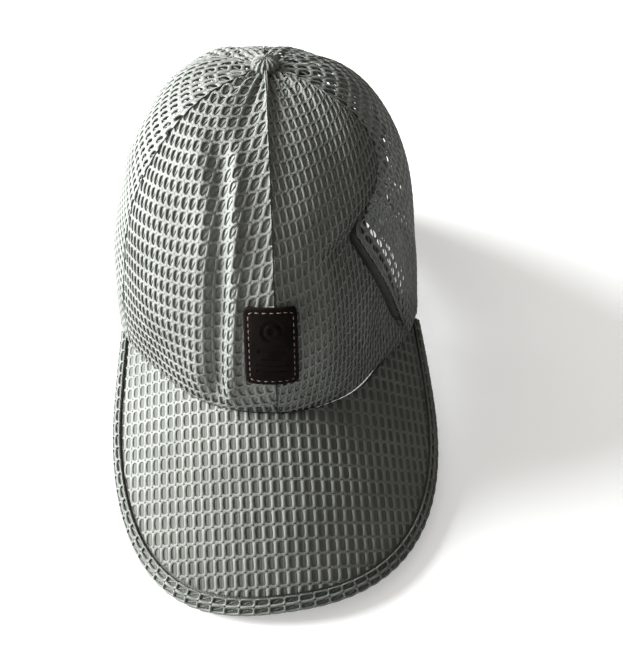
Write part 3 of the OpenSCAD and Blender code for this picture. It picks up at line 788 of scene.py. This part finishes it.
def sweatband():
    """Folded twill band, open across the back, with a line of stitches near its lower edge."""
    hem, line_z = 0.4, 6.0
    section = oval(SWEAT_T / 2, SWEAT_H / 2 - hem, 36, 6.0)
    depth = SWEAT_AT + SWEAT_T / 2 + section[:, 0]
    height = SWEAT_H / 2 + hem + section[:, 1]
    depth = depth - 0.5 * np.exp(-((height - line_z) / 0.9) ** 2) * (section[:, 0] > 0)
    f = np.linspace(-SWEAT_STOP, SWEAT_STOP, 280)[:, None] + 0 * depth
    wave = 0.25 * np.sin(f * 23) * np.sin(height / 5)
    rings = crown_point(f, tau_at(f, base_z(f) + height), depth + wave * (section[:, 0] > 0))
    solid = rings.reshape(-1, 3), tube_faces(*f.shape)
    piece = piece_for("sweatband_loop", solid, SWEATBAND, "sweatband_cloth", "sweatband")

    angles = np.linspace(-SWEAT_STOP + rad(1), SWEAT_STOP - rad(1), 900)

    def inside(at, d):
        return crown_point(at, tau_at(at, base_z(at) + line_z), d)
    line = inside(angles, SWEAT_AT + SWEAT_T - 0.45)
    first, second = (np.interp(k, np.arange(len(angles)), angles) for k in along_line(line, 3.4, 0.68))
    at = SWEAT_AT + SWEAT_T - 0.35
    inwards = -crown_out(first, tau_at(first, base_z(first) + line_z))
    row = stitch_row(inside(first, at), inside(second, at), inwards, 0.24)
    piece_for("sweatband_stitches", row, RIM_THREAD, "rim_thread")


sweatband()


def size_label():
    """Blank satin label inside the sweatband, beside the back opening, with its ends lifted a little."""
    rows, cols = 20, 24
    angles = np.linspace(rad(4) - SWEAT_STOP, rad(16) - SWEAT_STOP, cols)
    heights = np.linspace(6, SWEAT_H - 6, rows)[:, None]
    f = angles + 0 * heights
    tau = tau_at(f, base_z(f) + heights)
    curl = 0.5 * np.linspace(-1, 1, cols) ** 4 + 0.25 * np.linspace(-1, 1, rows)[:, None] ** 6
    at = SWEAT_AT + SWEAT_T + 0.2 + curl * 0.5
    solid = slab(crown_point(f, tau, at), crown_point(f, tau, at + 0.35))
    piece_for("size_label_satin", solid, LABEL, "label_cloth", "size_label", uv=slab_uv(f * 75, heights))


size_label()


def arch_binding():
    """Ribbed tape folded over the edge of the arched opening: wide inside, narrow outside."""
    length, width = 130, 15
    turn = np.linspace(0, PI, 90)
    base_w = ARCH_HALF * OPEN_A ** 2 / OPEN_B
    # Reach from the edge of the opening and depth of the tape's outer ply, from outside to inside
    fold = [(2.6, -0.95), (1.2, -1.0), (0.0, -0.9), (-0.6, -0.2), (-0.7, 0.6), (-0.6, 1.3), (0.0, 1.9),
            (1.5, 2.0), (BINDING_W / 2, 2.05), (BINDING_W, 2.0)]

    def ring(reach, depth):
        angle = PI - ARCH_HALF * (1 + reach / base_w) * np.cos(turn)
        return crown_point(angle, tau_at(angle, (ARCH_H + reach) * np.sin(turn) + 1), depth)
    near = np.stack([ring(reach, depth) for reach, depth in fold])
    across_fold = unit(np.gradient(near, axis=0))
    along = unit(np.gradient(near, axis=1))
    outward = np.cross(across_fold, along)
    far = near - outward * BINDING_T * np.sign((outward[0] * crown_out(PI, 0.6)).sum(-1).mean())
    solid = slab(near, far)
    uv = slab_uv(np.linspace(0, length, len(turn)), np.linspace(0, width, len(fold))[:, None])
    piece_for("arch_binding_tape", solid, TAPE, "tape", "arch_binding", uv=uv)


arch_binding()


def crown_hem(name, f1, f2):
    """Rolled hem along the crown's lower edge, from the bill to the back opening."""
    f = np.linspace(f1, f2, 160)
    path = crown_point(f, tau_at(f, np.maximum(base_z(f), 0) + 1.3), 0.2)
    swell = 1 + 0.06 * np.sin(np.linspace(0, 60 * PI, len(f)))
    solid = along_crown(path, crown_out(f, rad(4)), oval(1.3, 0.95, 12, 2.6), swell)
    piece_for(name, solid, NETTING, "netting")


crown_hem("left_hem", -BILL_END, -(PI - ARCH_HALF))
crown_hem("right_hem", BILL_END, PI - ARCH_HALF)


def bill_seam():
    """Turned-in edges of the crown and the bill, sewn together inside their seam."""
    f = np.linspace(-BILL_END - rad(1), BILL_END + rad(1), 260)
    path = crown_point(f, tau_at(f, base_z(f) + 0.6), 1.1)
    swell = 1 + 0.05 * np.sin(np.linspace(0, 90 * PI, len(f)))
    solid = along_crown(path, crown_out(f, rad(4)), oval(2.4, 0.8, 14, 3.0), swell)
    # Near black, as painted shade: a dark line along the bill's seam.
    piece_for("bill_seam_allowance", solid, SHADE_SEAM_TAPE, "tape")


bill_seam()


# ---- Top button ----
def button_cover():
    """Netting gathered over the button: fine pleats that meet at its middle."""
    radius, height, base = 6.0, 4.2, CROWN_H + 0.4
    pleats = 14
    turn = np.linspace(0, 2 * PI, 12 * pleats, endpoint=False)
    lift = np.linspace(rad(2), rad(88), 26)[:, None]
    pleat = np.cos(pleats * turn) * np.cos(lift) ** 0.5
    knots = 0.12 * np.cos(2 * pleats * turn + 3 * lift) * np.sin(lift * pleats)

    def shell(inset):
        r = (radius - inset) * np.cos(lift) ** 0.8 + 0.32 * pleat + knots * 0.5
        z = base + (height - inset) * np.sin(lift) + 0.18 * pleat + knots - (height * 0.9 * (lift < rad(3)))
        return np.stack([r * np.cos(turn), MID_Y + r * np.sin(turn), z + 0 * r], -1)
    outer, inner = shell(0.0), shell(0.8)
    rows, cols = outer.shape[:2]
    points = np.concatenate([outer.reshape(-1, 3), inner.reshape(-1, 3)])
    n = rows * cols
    faces = grid_faces(rows, cols, closed=True) + [f[::-1] for f in grid_faces(rows, cols, n, closed=True)]
    faces += [tuple(range(n - cols, n)), tuple(range(2 * n - cols, 2 * n))[::-1]]
    faces += [(k, k + n, (k + 1) % cols + n, (k + 1) % cols) for k in range(cols)]
    piece_for("button_cover_netting", (points, faces), NETTING, "netting", "button_cover",
              uv=slab_uv(turn * 2, lift * 2))


button_cover()


# ---- Bill ----
BILL_CELL = cell(0.295, 0.41, 3.2, 0.5, 0.2, 0.12, 0.07)
# Width and height of a cell, and the turn by which its rows and columns lean towards each other
BILL_W, BILL_H, BILL_TURN = 4.45, 6.09, rad(2.0)
# Width of the bare line between the bill's netting and its edge band
GROOVE = 0.9
BOARD_AT, BOARD_T, BOARD_INSET = 1.3, 1.5, 1.5
BACKING_T, BACKING_INSET = 0.2, BOARD_INSET + 0.5


def lay_bill(depth, up, inset):
    """Lays flat netting on the bill, at a depth, with its face up (1) or down (-1)."""
    def lay(p, q, h):
        half = BILL_HALF - inset
        u = np.clip(p, -half, half)
        low, high = seam_v(u) + 0.4, rim_v(u, inset)
        spare = np.minimum(np.minimum(half - np.abs(p), q - low), high - q)
        v = np.clip(q, low, np.maximum(high, low))
        return bill_point(u, v, depth - up * np.asarray(h)), spare
    return lay


def bill_netting(name, depth, up, node_name):
    c, s = math.cos(BILL_TURN), math.sin(BILL_TURN)
    e1, e2 = BILL_W * np.array([c, s]), BILL_H * np.array([s, c])
    first, columns, rows = np.array([BILL_W / 2, 1.0]), (-24, 24), (-16, 16)
    points, faces, uv = netting(first, e1, e2, (columns, rows), BILL_CELL,
                                lay_bill(depth, up, BAND_W + GROOVE), flip=up < 0)
    piece = piece_for(name, (points, faces), NETTING, "netting", node_name, uv=uv)


def bill_sheet(columns, rows, start, inset, depth, thick):
    """Plain sheet of the bill, from its seam to an inset from its rim."""
    u = (BILL_HALF - inset) * np.sin(np.linspace(-PI / 2, PI / 2, columns))
    low, high = seam_v(u) + start, rim_v(u, inset)
    v = low + (high - low) * np.linspace(0, 1, rows)[:, None]
    return slab(bill_point(u, v, depth), bill_point(u, v, depth + thick))


def bill_backing(name, depth):
    """Close knit between the netting and the board, darker than the yarn as painted shade in the cells."""
    solid = bill_sheet(80, 36, 0.3, BACKING_INSET, depth, BACKING_T)
    piece_for(name, solid, SHADED_BACKING, "lining")


# The board's dark colour is painted shade for the floors of the cells.
piece_for("bill_board_form", bill_sheet(90, 40, 0.9, BOARD_INSET, BOARD_AT, BOARD_T), SHADED_BOARD, "board_plastic",
          "bill_board")
bill_backing("bill_top_backing", 0.72)
bill_backing("bill_under_backing", 2.95)
bill_netting("bill_top_netting", 0.5, 1, "bill_top_cloth")
bill_netting("bill_under_netting", 3.3, -1, "bill_under_cloth")


def rim_tables():
    """Along the whole rim: distance, place at inset 0, and change of place for each mm of inset."""
    curve = rad(89.9) * np.linspace(-1, 1, 260)
    share = np.linspace(0, 1, 40)[:-1]
    back_l, back_r = (float(seam_v(side * (BILL_HALF - 3))) + 0.6 for side in (-1, 1))
    left, right = back_l + (RIM_MIDDLE - back_l) * share, RIM_MIDDLE + (back_r - RIM_MIDDLE) * share
    front, inner = np.stack(rim(curve, 0.0), 1), np.stack(rim(curve, 1.0), 1)
    straight = np.ones_like(share)
    at = np.concatenate([np.stack([-BILL_HALF * straight, left], 1), front,
                         np.stack([BILL_HALF * straight, right], 1)])
    step = np.concatenate([np.stack([straight, 0 * straight], 1), inner - front,
                           np.stack([-straight, 0 * straight], 1)])
    return run_length(at), at, step


def band_tables():
    """Across the band, from its inner edge on top, round the rim, to its inner edge below: distance, inset,
    depth, and the direction out of the cloth."""
    turn = np.linspace(0, PI, 30)
    middle, half = BILL_T / 2, BILL_T / 2 + 0.5
    nose_at, nose = 2.3, 1.35
    flat = np.linspace(BAND_W, nose_at, 10)[:-1]
    inset = np.concatenate([flat, nose_at - nose * np.sin(turn), flat[::-1]])
    depth = middle - half * np.concatenate([0 * flat + 1, np.cos(turn), 0 * flat - 1])
    away = np.concatenate([[0], np.cumsum(np.hypot(np.diff(inset), np.diff(depth)))])
    tangent = unit(np.stack([np.gradient(inset), np.gradient(depth)], 1))
    return away, inset, depth, -tangent[:, 1], tangent[:, 0]


RIM_AWAY, RIM_AT, RIM_STEP = rim_tables()
BAND_AWAY, BAND_INSET, BAND_DEPTH, BAND_OUT_I, BAND_OUT_D = band_tables()
BAND_CELL = cell(0.31, 0.43, 3.4, 0.7, 0.45, 0.12, 0.08)


def on_band(p, q, h):
    """Place on the band: p along the rim, q across the band and round it, h out of it."""
    inset = np.interp(q, BAND_AWAY, BAND_INSET) + np.interp(q, BAND_AWAY, BAND_OUT_I) * h
    depth = np.interp(q, BAND_AWAY, BAND_DEPTH) + np.interp(q, BAND_AWAY, BAND_OUT_D) * h
    u, v = (np.interp(p, RIM_AWAY, RIM_AT[:, axis]) + inset * np.interp(p, RIM_AWAY, RIM_STEP[:, axis])
            for axis in (0, 1))
    return bill_point(u, v, depth)


def edge_band():
    """Netting folded around the rim, with its cells lying along it, over a close inner ply."""
    length, width = float(RIM_AWAY[-1]), float(BAND_AWAY[-1])
    rows = 5
    columns = round(length / 6.5)

    def lay(p, q, h):
        spare = np.minimum(np.minimum(p, length - p), np.minimum(q, width - q))
        return on_band(np.clip(p, 0, length), np.clip(q, 0, width), np.asarray(h)), spare
    e1, e2 = np.array([0.0, -width / rows]), np.array([length / columns, 0.0])
    points, faces, uv = netting(np.array([e2[0] / 2, width / rows / 2]), e1, e2, ((-rows, 1), (0, columns)),
                                BAND_CELL, lay, thread=0.24, flip=True)
    piece = piece_for("bill_edge_netting", (points, faces), NETTING, "netting", "bill_edge_band", uv=uv)

    p, q = np.meshgrid(np.linspace(0, length, 260), np.linspace(0.2, width - 0.2, 34), indexing="ij")
    ply = slab(on_band(p, q, -0.5), on_band(p, q, -0.75))
    piece_for("bill_edge_ply", ply, BAND_CORE, "netting")


edge_band()


def band_stitches():
    """Stitches along the middle of the band's top, which hold both its plies."""
    q = BAND_W / 2
    p = np.linspace(3, RIM_AWAY[-1] - 3, 1200)
    line = on_band(p, q, 0.1)
    first, second = (np.interp(k, np.arange(len(p)), p) for k in along_line(line, 3.25, 0.7))
    out = unit(on_band(first, q, 1.0) - on_band(first, q, 0.0))
    row = stitch_row(on_band(first, q, 0.12), on_band(second, q, 0.12), out, 0.2)
    piece_for("bill_edge_stitches", row, RIM_THREAD, "rim_thread", "bill_edge_stitching")


band_stitches()


# ---- Leather patch ----
PATCH_W, PATCH_H, PATCH_R, PATCH_T = 22.0, 34.0, 2.5, 1.4
# How far in from its edge the pressed line runs, which the stitches follow
PATCH_LINE = 2.0
# How far it sits from the seam's line, towards the right, and its back over the plain crown
PATCH_SHIFT, PATCH_LIFT = -1.3, 0.45
PATCH_Z = SEAM_H + 20.4
PATCH_LOW = float(tau_at(0.0, PATCH_Z))
PATCH_HIGH = float(tau_at(0.0, PATCH_Z + PATCH_H * 0.9))


def patch_surface(x, s, lift):
    """Place on the patch: x across, s up from its lower edge, lift over its back. It bridges the seam."""
    tau = PATCH_LOW + (PATCH_HIGH - PATCH_LOW) * s / PATCH_H
    f = np.arcsin((x + PATCH_SHIFT) / OPEN_A / np.cos(tau) ** (2 / FRONT_ROUND))
    bridge = 2.2 * np.exp(-(x / 13) ** 2) - relief(f, height_at(f, tau))
    return crown_point(f, tau, -(PATCH_LIFT + bridge + lift))


def inside_patch(x, s):
    """Distance in from the patch's rounded outline."""
    dx = np.abs(x) - (PATCH_W / 2 - PATCH_R)
    ds = np.abs(s - PATCH_H / 2) - (PATCH_H / 2 - PATCH_R)
    return PATCH_R - np.hypot(np.maximum(dx, 0), np.maximum(ds, 0)) - np.minimum(np.maximum(dx, ds), 0)


def emblem(x, s):
    """Depth of the plain marks pressed into the leather: a ring round a dot, over four bars."""
    from_ring = np.hypot(x, s - 24.5)
    ring = smooth(1.0 - np.abs(from_ring - 3.6), 0.0, 0.5)
    dot = smooth(1.6 - from_ring, 0.0, 0.5)
    bars = 0
    for middle, half_w, half_h in ((16.0, 5.6, 0.9), (12.6, 3.8, 0.55), (9.6, 6.4, 0.45), (6.9, 6.4, 0.45)):
        within = np.minimum(half_w - np.abs(x), half_h - np.abs(s - middle))
        bars = np.maximum(bars, smooth(within, -0.15, 0.2))
    return 0.3 * np.maximum(np.maximum(ring, dot), bars)


def leather_patch():
    """Moulded leather tab: rounded edges, a line pressed in along the stitches, and a plain emblem."""
    rows, cols = 150, 100
    s = PATCH_H * (1 - np.cos(np.linspace(0, PI, rows))) / 2
    s = 0.35 * s + 0.65 * np.linspace(0, PATCH_H, rows)
    end = np.minimum(s, PATCH_H - s)
    loss = PATCH_R - np.sqrt(np.maximum(PATCH_R ** 2 - (PATCH_R - np.minimum(end, PATCH_R)) ** 2, 0))
    across_patch = np.linspace(-1, 1, cols)
    across_patch = np.sin(across_patch * PI / 2) * 0.35 + across_patch * 0.65
    x = (PATCH_W / 2 - loss)[:, None] * across_patch
    s = s[:, None] + 0 * x
    margin = inside_patch(x, s)
    rounding = 0.5 * (1 - np.sqrt(np.clip(1 - (1 - np.clip(margin / 0.7, 0, 1)) ** 2, 0, 1)))
    groove = 0.16 * np.exp(-((margin - PATCH_LINE) / 0.45) ** 2)
    top = patch_surface(x, s, PATCH_T - rounding - groove - emblem(x, s))
    solid = slab(top, patch_surface(x, s, 0.12 * (margin < 0.3)))
    piece_for("leather_patch_embossed", solid, LEATHER, "patch_leather", "leather_patch")


def patch_stitches():
    """Dashes round the patch, sunk in the pressed line."""
    half_w, half_h = PATCH_W / 2 - PATCH_LINE, PATCH_H / 2 - PATCH_LINE
    corner, pitch = 1.2, 2.75
    turn = np.linspace(0, PI / 2, 8)
    outline = []
    for quarter, (sx, ss) in enumerate(((1, 1), (-1, 1), (-1, -1), (1, -1))):
        angle = turn + quarter * PI / 2
        outline.append(np.stack([sx * (half_w - corner) + corner * np.cos(angle),
                                 PATCH_H / 2 + ss * (half_h - corner) + corner * np.sin(angle)], 1))
    outline = np.concatenate(outline + [outline[0][:1]])
    away = run_length(outline)
    fine = np.linspace(0, away[-1], 800)
    line = np.stack([np.interp(fine, away, outline[:, 0]), np.interp(fine, away, outline[:, 1]), 0 * fine], 1)
    places = along_line(line, pitch, 0.62)
    first, second = ([np.interp(k, np.arange(len(fine)), line[:, axis]) for axis in (0, 1)] for k in places)
    height = PATCH_T - 0.1
    starts, ends = patch_surface(*first, height), patch_surface(*second, height)
    out = patch_surface(*first, height + 1) - starts
    piece_for("patch_stitches", stitch_row(starts, ends, out, 0.22), PATCH_THREAD, "patch_thread",
              "patch_stitching")


leather_patch()
patch_stitches()


# ---- Strap, keeper and clasp ----
STRAP_R = OPEN_A ** 2 / OPEN_B
STRAP_Y = MID_Y + OPEN_B - STRAP_R
STRAP_LOW, STRAP_W, STRAP_AT, STRAP_T = 3.0, 16.0, 2.5, 1.2
CLASP_AT, FRAME_HALF = rad(12), 9.0
BAR_AT, BAR_R, LOOP_PLY = STRAP_AT + 3.7, 0.75, 0.8
KEEPER_HALF, KEEPER_TRAVEL, KEEPER_GAP = rad(3), rad(5), 1.8
KEEPER_AT = CLASP_AT + (FRAME_HALF + KEEPER_GAP) / STRAP_R + KEEPER_HALF + KEEPER_TRAVEL
TAIL_END = KEEPER_AT + KEEPER_HALF + KEEPER_TRAVEL + rad(1)
STRAP_MIDDLE = STRAP_LOW + STRAP_W / 2
UP = np.array([0.0, 0.0, 1.0])


def around_back(angle, radius, z):
    """Places on the circle that fits the back of the cap, from the back's middle towards the right."""
    angle, radius, z = np.broadcast_arrays(np.asarray(angle, float), radius, z)
    return np.stack([radius * np.sin(angle), STRAP_Y + radius * np.cos(angle), z], -1)


def strap_uv(path, section):
    """Places in the webbing of a strap swept along a path."""
    away = run_length(path)
    return np.stack([np.repeat(away, len(section)), np.tile(section[:, 0], len(away))], 1)


def webbing(name, path, half_w, half_t, node_name, tip=0.0):
    """Woven strap on edge along a path in plan. Its last corners are rounded over the length of its tip."""
    along = unit(np.gradient(path, axis=0))
    out = np.cross(along, UP)
    section = oval(half_w, half_t, 28, 7.0)
    solid, faces = sweep(path, UP + 0 * path, out, section)
    if tip:
        rings = solid.reshape(len(path), len(section), 3)
        left = np.linalg.norm(path - path[-1], axis=1)
        squeeze = np.sqrt(np.clip(1 - (1 - np.clip(left / tip, 0, 1)) ** 2, 0.03, 1)) * 0.3 + 0.7
        rings[..., 2] = path[:, None, 2] + (rings[..., 2] - path[:, None, 2]) * squeeze[:, None]
    piece_for(name, (solid, faces), WEBBING, "tape", node_name, uv=strap_uv(path, section))


def straps():
    angle = np.linspace(rad(-50), TAIL_END, 150)
    middle_r = STRAP_R - STRAP_AT - STRAP_T / 2
    webbing("long_strap_webbing", around_back(angle, middle_r, STRAP_MIDDLE), STRAP_W / 2, STRAP_T / 2 - 0.02,
            "long_strap", tip=3.0)

    bar_x = FRAME_HALF - 1.6
    bar_circle = math.hypot(bar_x, STRAP_R - BAR_AT)
    bar_turn = CLASP_AT + math.atan2(bar_x, STRAP_R - BAR_AT)
    ply_r = BAR_R + 0.15 + LOOP_PLY / 2
    run = np.linspace(rad(50), bar_turn, 60)
    bar = around_back(bar_turn, bar_circle, STRAP_MIDDLE)
    turn = np.linspace(0, PI, 16)[1:-1]
    radial = np.array([math.sin(bar_turn), math.cos(bar_turn), 0.0])
    backward = np.array([-math.cos(bar_turn), math.sin(bar_turn), 0.0])
    bend = bar + ply_r * (np.cos(turn)[:, None] * radial + np.sin(turn)[:, None] * backward)
    path = np.concatenate([around_back(run, bar_circle + ply_r, STRAP_MIDDLE), bend,
                           around_back(run[::-1], bar_circle - ply_r, STRAP_MIDDLE)])
    webbing("strap_loop_webbing", path, STRAP_W / 2, LOOP_PLY / 2 - 0.02, "strap_loop")


straps()


def keeper():
    """Narrow webbing loop around both straps."""
    wall, clear = 0.8, 0.5
    r_in = STRAP_R - (BAR_AT + BAR_R + LOOP_PLY + 0.6) - wall / 2
    r_out = STRAP_R - (STRAP_AT - 0.4) + wall / 2
    z_low, z_high = STRAP_LOW - clear - wall / 2, STRAP_LOW + STRAP_W + clear + wall / 2
    outline = oval((r_out - r_in) / 2, (z_high - z_low) / 2, 96, 9.0)
    radius, z = (r_in + r_out) / 2 + outline[:, 0], (z_low + z_high) / 2 + outline[:, 1]
    path = around_back(KEEPER_AT, radius, z)
    along = unit(np.roll(path, -1, 0) - np.roll(path, 1, 0))
    side = around_back(KEEPER_AT + PI / 2, 1.0, 0.0) - around_back(KEEPER_AT, 0.0, 0.0)
    side = unit(side) + 0 * path
    section = oval(KEEPER_HALF * (r_in + r_out) / 2, wall / 2 - 0.02, 20, 6.0)
    solid = sweep(path, side, np.cross(along, side), section, closed=True)
    piece_for("strap_keeper_webbing", solid, WEBBING, "tape", "strap_keeper", uv=strap_uv(path, section),
              body="keeper")


keeper()

for metal, metal_nodes in ((CLASP_METAL, ("clasp_frame", "clasp_pin", "cam_lever")),
                           (BUTTON_METAL, ("button_shell", "button_prongs"))):
    for metal_node in metal_nodes:
        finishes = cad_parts[metal_node].data.materials
        finishes.clear()
        finishes.append(metal)

# ---- Camera, floor and light ----
EYE = Vector((-5.43, -266.61, 334.06)) * MM
LOOK_DOWN, LOOK_RIGHT, TILT = 0.8572, 0.0955, 0.0379
FOCAL, SENSOR = 44.46, 36.0
# The window: its middle and what it faces, in metres, its size, watts and colour
KEY_AT, KEY_FACES = Vector((-1.48, 0.40, 0.70)), Vector((0, 0, 0.06))
KEY_SIZE, KEY_WATTS, KEY_COLOUR = 1.1, 140.0, (0.955, 0.985, 1.0)


def add_camera():
    turn = (Matrix.Rotation(-LOOK_RIGHT, 4, "Z") @ Matrix.Rotation(PI / 2 - LOOK_DOWN, 4, "X")
            @ Matrix.Rotation(TILT, 4, "Z"))
    data = bpy.data.cameras.new("camera")
    data.lens, data.sensor_width = FOCAL, SENSOR
    data.clip_start = 0.01
    camera = bpy.data.objects.new("camera", data)
    camera.matrix_world = Matrix.Translation(EYE) @ turn
    bpy.context.scene.collection.objects.link(camera)
    bpy.context.scene.camera = camera


def add_key():
    """One large soft light, from the left and a little behind."""
    data = bpy.data.lights.new("key", "AREA")
    data.shape, data.size, data.energy, data.color = "DISK", KEY_SIZE, KEY_WATTS, KEY_COLOUR
    lamp = bpy.data.objects.new("key", data)
    lamp.location = KEY_AT
    lamp.rotation_euler = (KEY_FACES - KEY_AT).to_track_quat("-Z", "Y").to_euler()
    bpy.context.scene.collection.objects.link(lamp)


# Glow of the floor that is seen but lights nothing, so that the shadow stays pale
SHADOW_LIFT = 0.37


def add_floor():
    """Pale paper under the cap."""
    mat, tree, shader = material("floor_paper", rough=0.9)
    noise_mix(tree, shader, 4.0, (0.70, 0.70, 0.70), (0.72, 0.72, 0.72))
    seen = node(tree, "ShaderNodeLightPath").outputs["Is Camera Ray"]
    lift = node(tree, "ShaderNodeMapRange", Value=seen)
    lift.inputs["To Max"].default_value = SHADOW_LIFT
    shader.inputs["Emission Color"].default_value = (1.0, 1.0, 1.0, 1.0)
    tree.links.new(lift.outputs["Result"], shader.inputs["Emission Strength"])
    mesh = bpy.data.meshes.new("floor")
    side, low = 6.0, -0.0002
    corners = [(-side, -side, low), (side, -side, low), (side, side, low), (-side, side, low)]
    mesh.from_pydata(corners, [], [(0, 1, 2, 3)])
    mesh.materials.append(mat)
    floor = bpy.data.objects.new("floor", mesh)
    bpy.context.scene.collection.objects.link(floor)


# The room: direction of its brighter side, its colour, and its strength at both ends of that direction
BRIGHT_SIDE, ROOM_COLOUR = (-0.88, 0.22, 0.42), (1.0, 0.965, 0.895, 1.0)
ROOM_DARK, ROOM_BRIGHT = 0.05, 1.2


def add_world():
    """Soft room light, brighter from the window's side."""
    world = bpy.data.worlds.new("studio")
    world.use_nodes = True
    tree = world.node_tree
    place = node(tree, "ShaderNodeTexCoord")
    toward = node(tree, "ShaderNodeVectorMath", operation="DOT_PRODUCT")
    toward.inputs[1].default_value = BRIGHT_SIDE
    level = node(tree, "ShaderNodeMapRange", Value=toward.outputs["Value"])
    for socket, value in {"From Min": -0.1, "To Min": ROOM_DARK, "To Max": ROOM_BRIGHT}.items():
        level.inputs[socket].default_value = value
    background = tree.nodes["Background"]
    background.inputs["Color"].default_value = ROOM_COLOUR
    tree.links.new(place.outputs["Generated"], toward.inputs[0])
    tree.links.new(level.outputs["Result"], background.inputs["Strength"])
    bpy.context.scene.world = world


add_camera()
add_floor()
add_world()
add_key()
bpy.context.scene.view_settings.view_transform = "Standard"
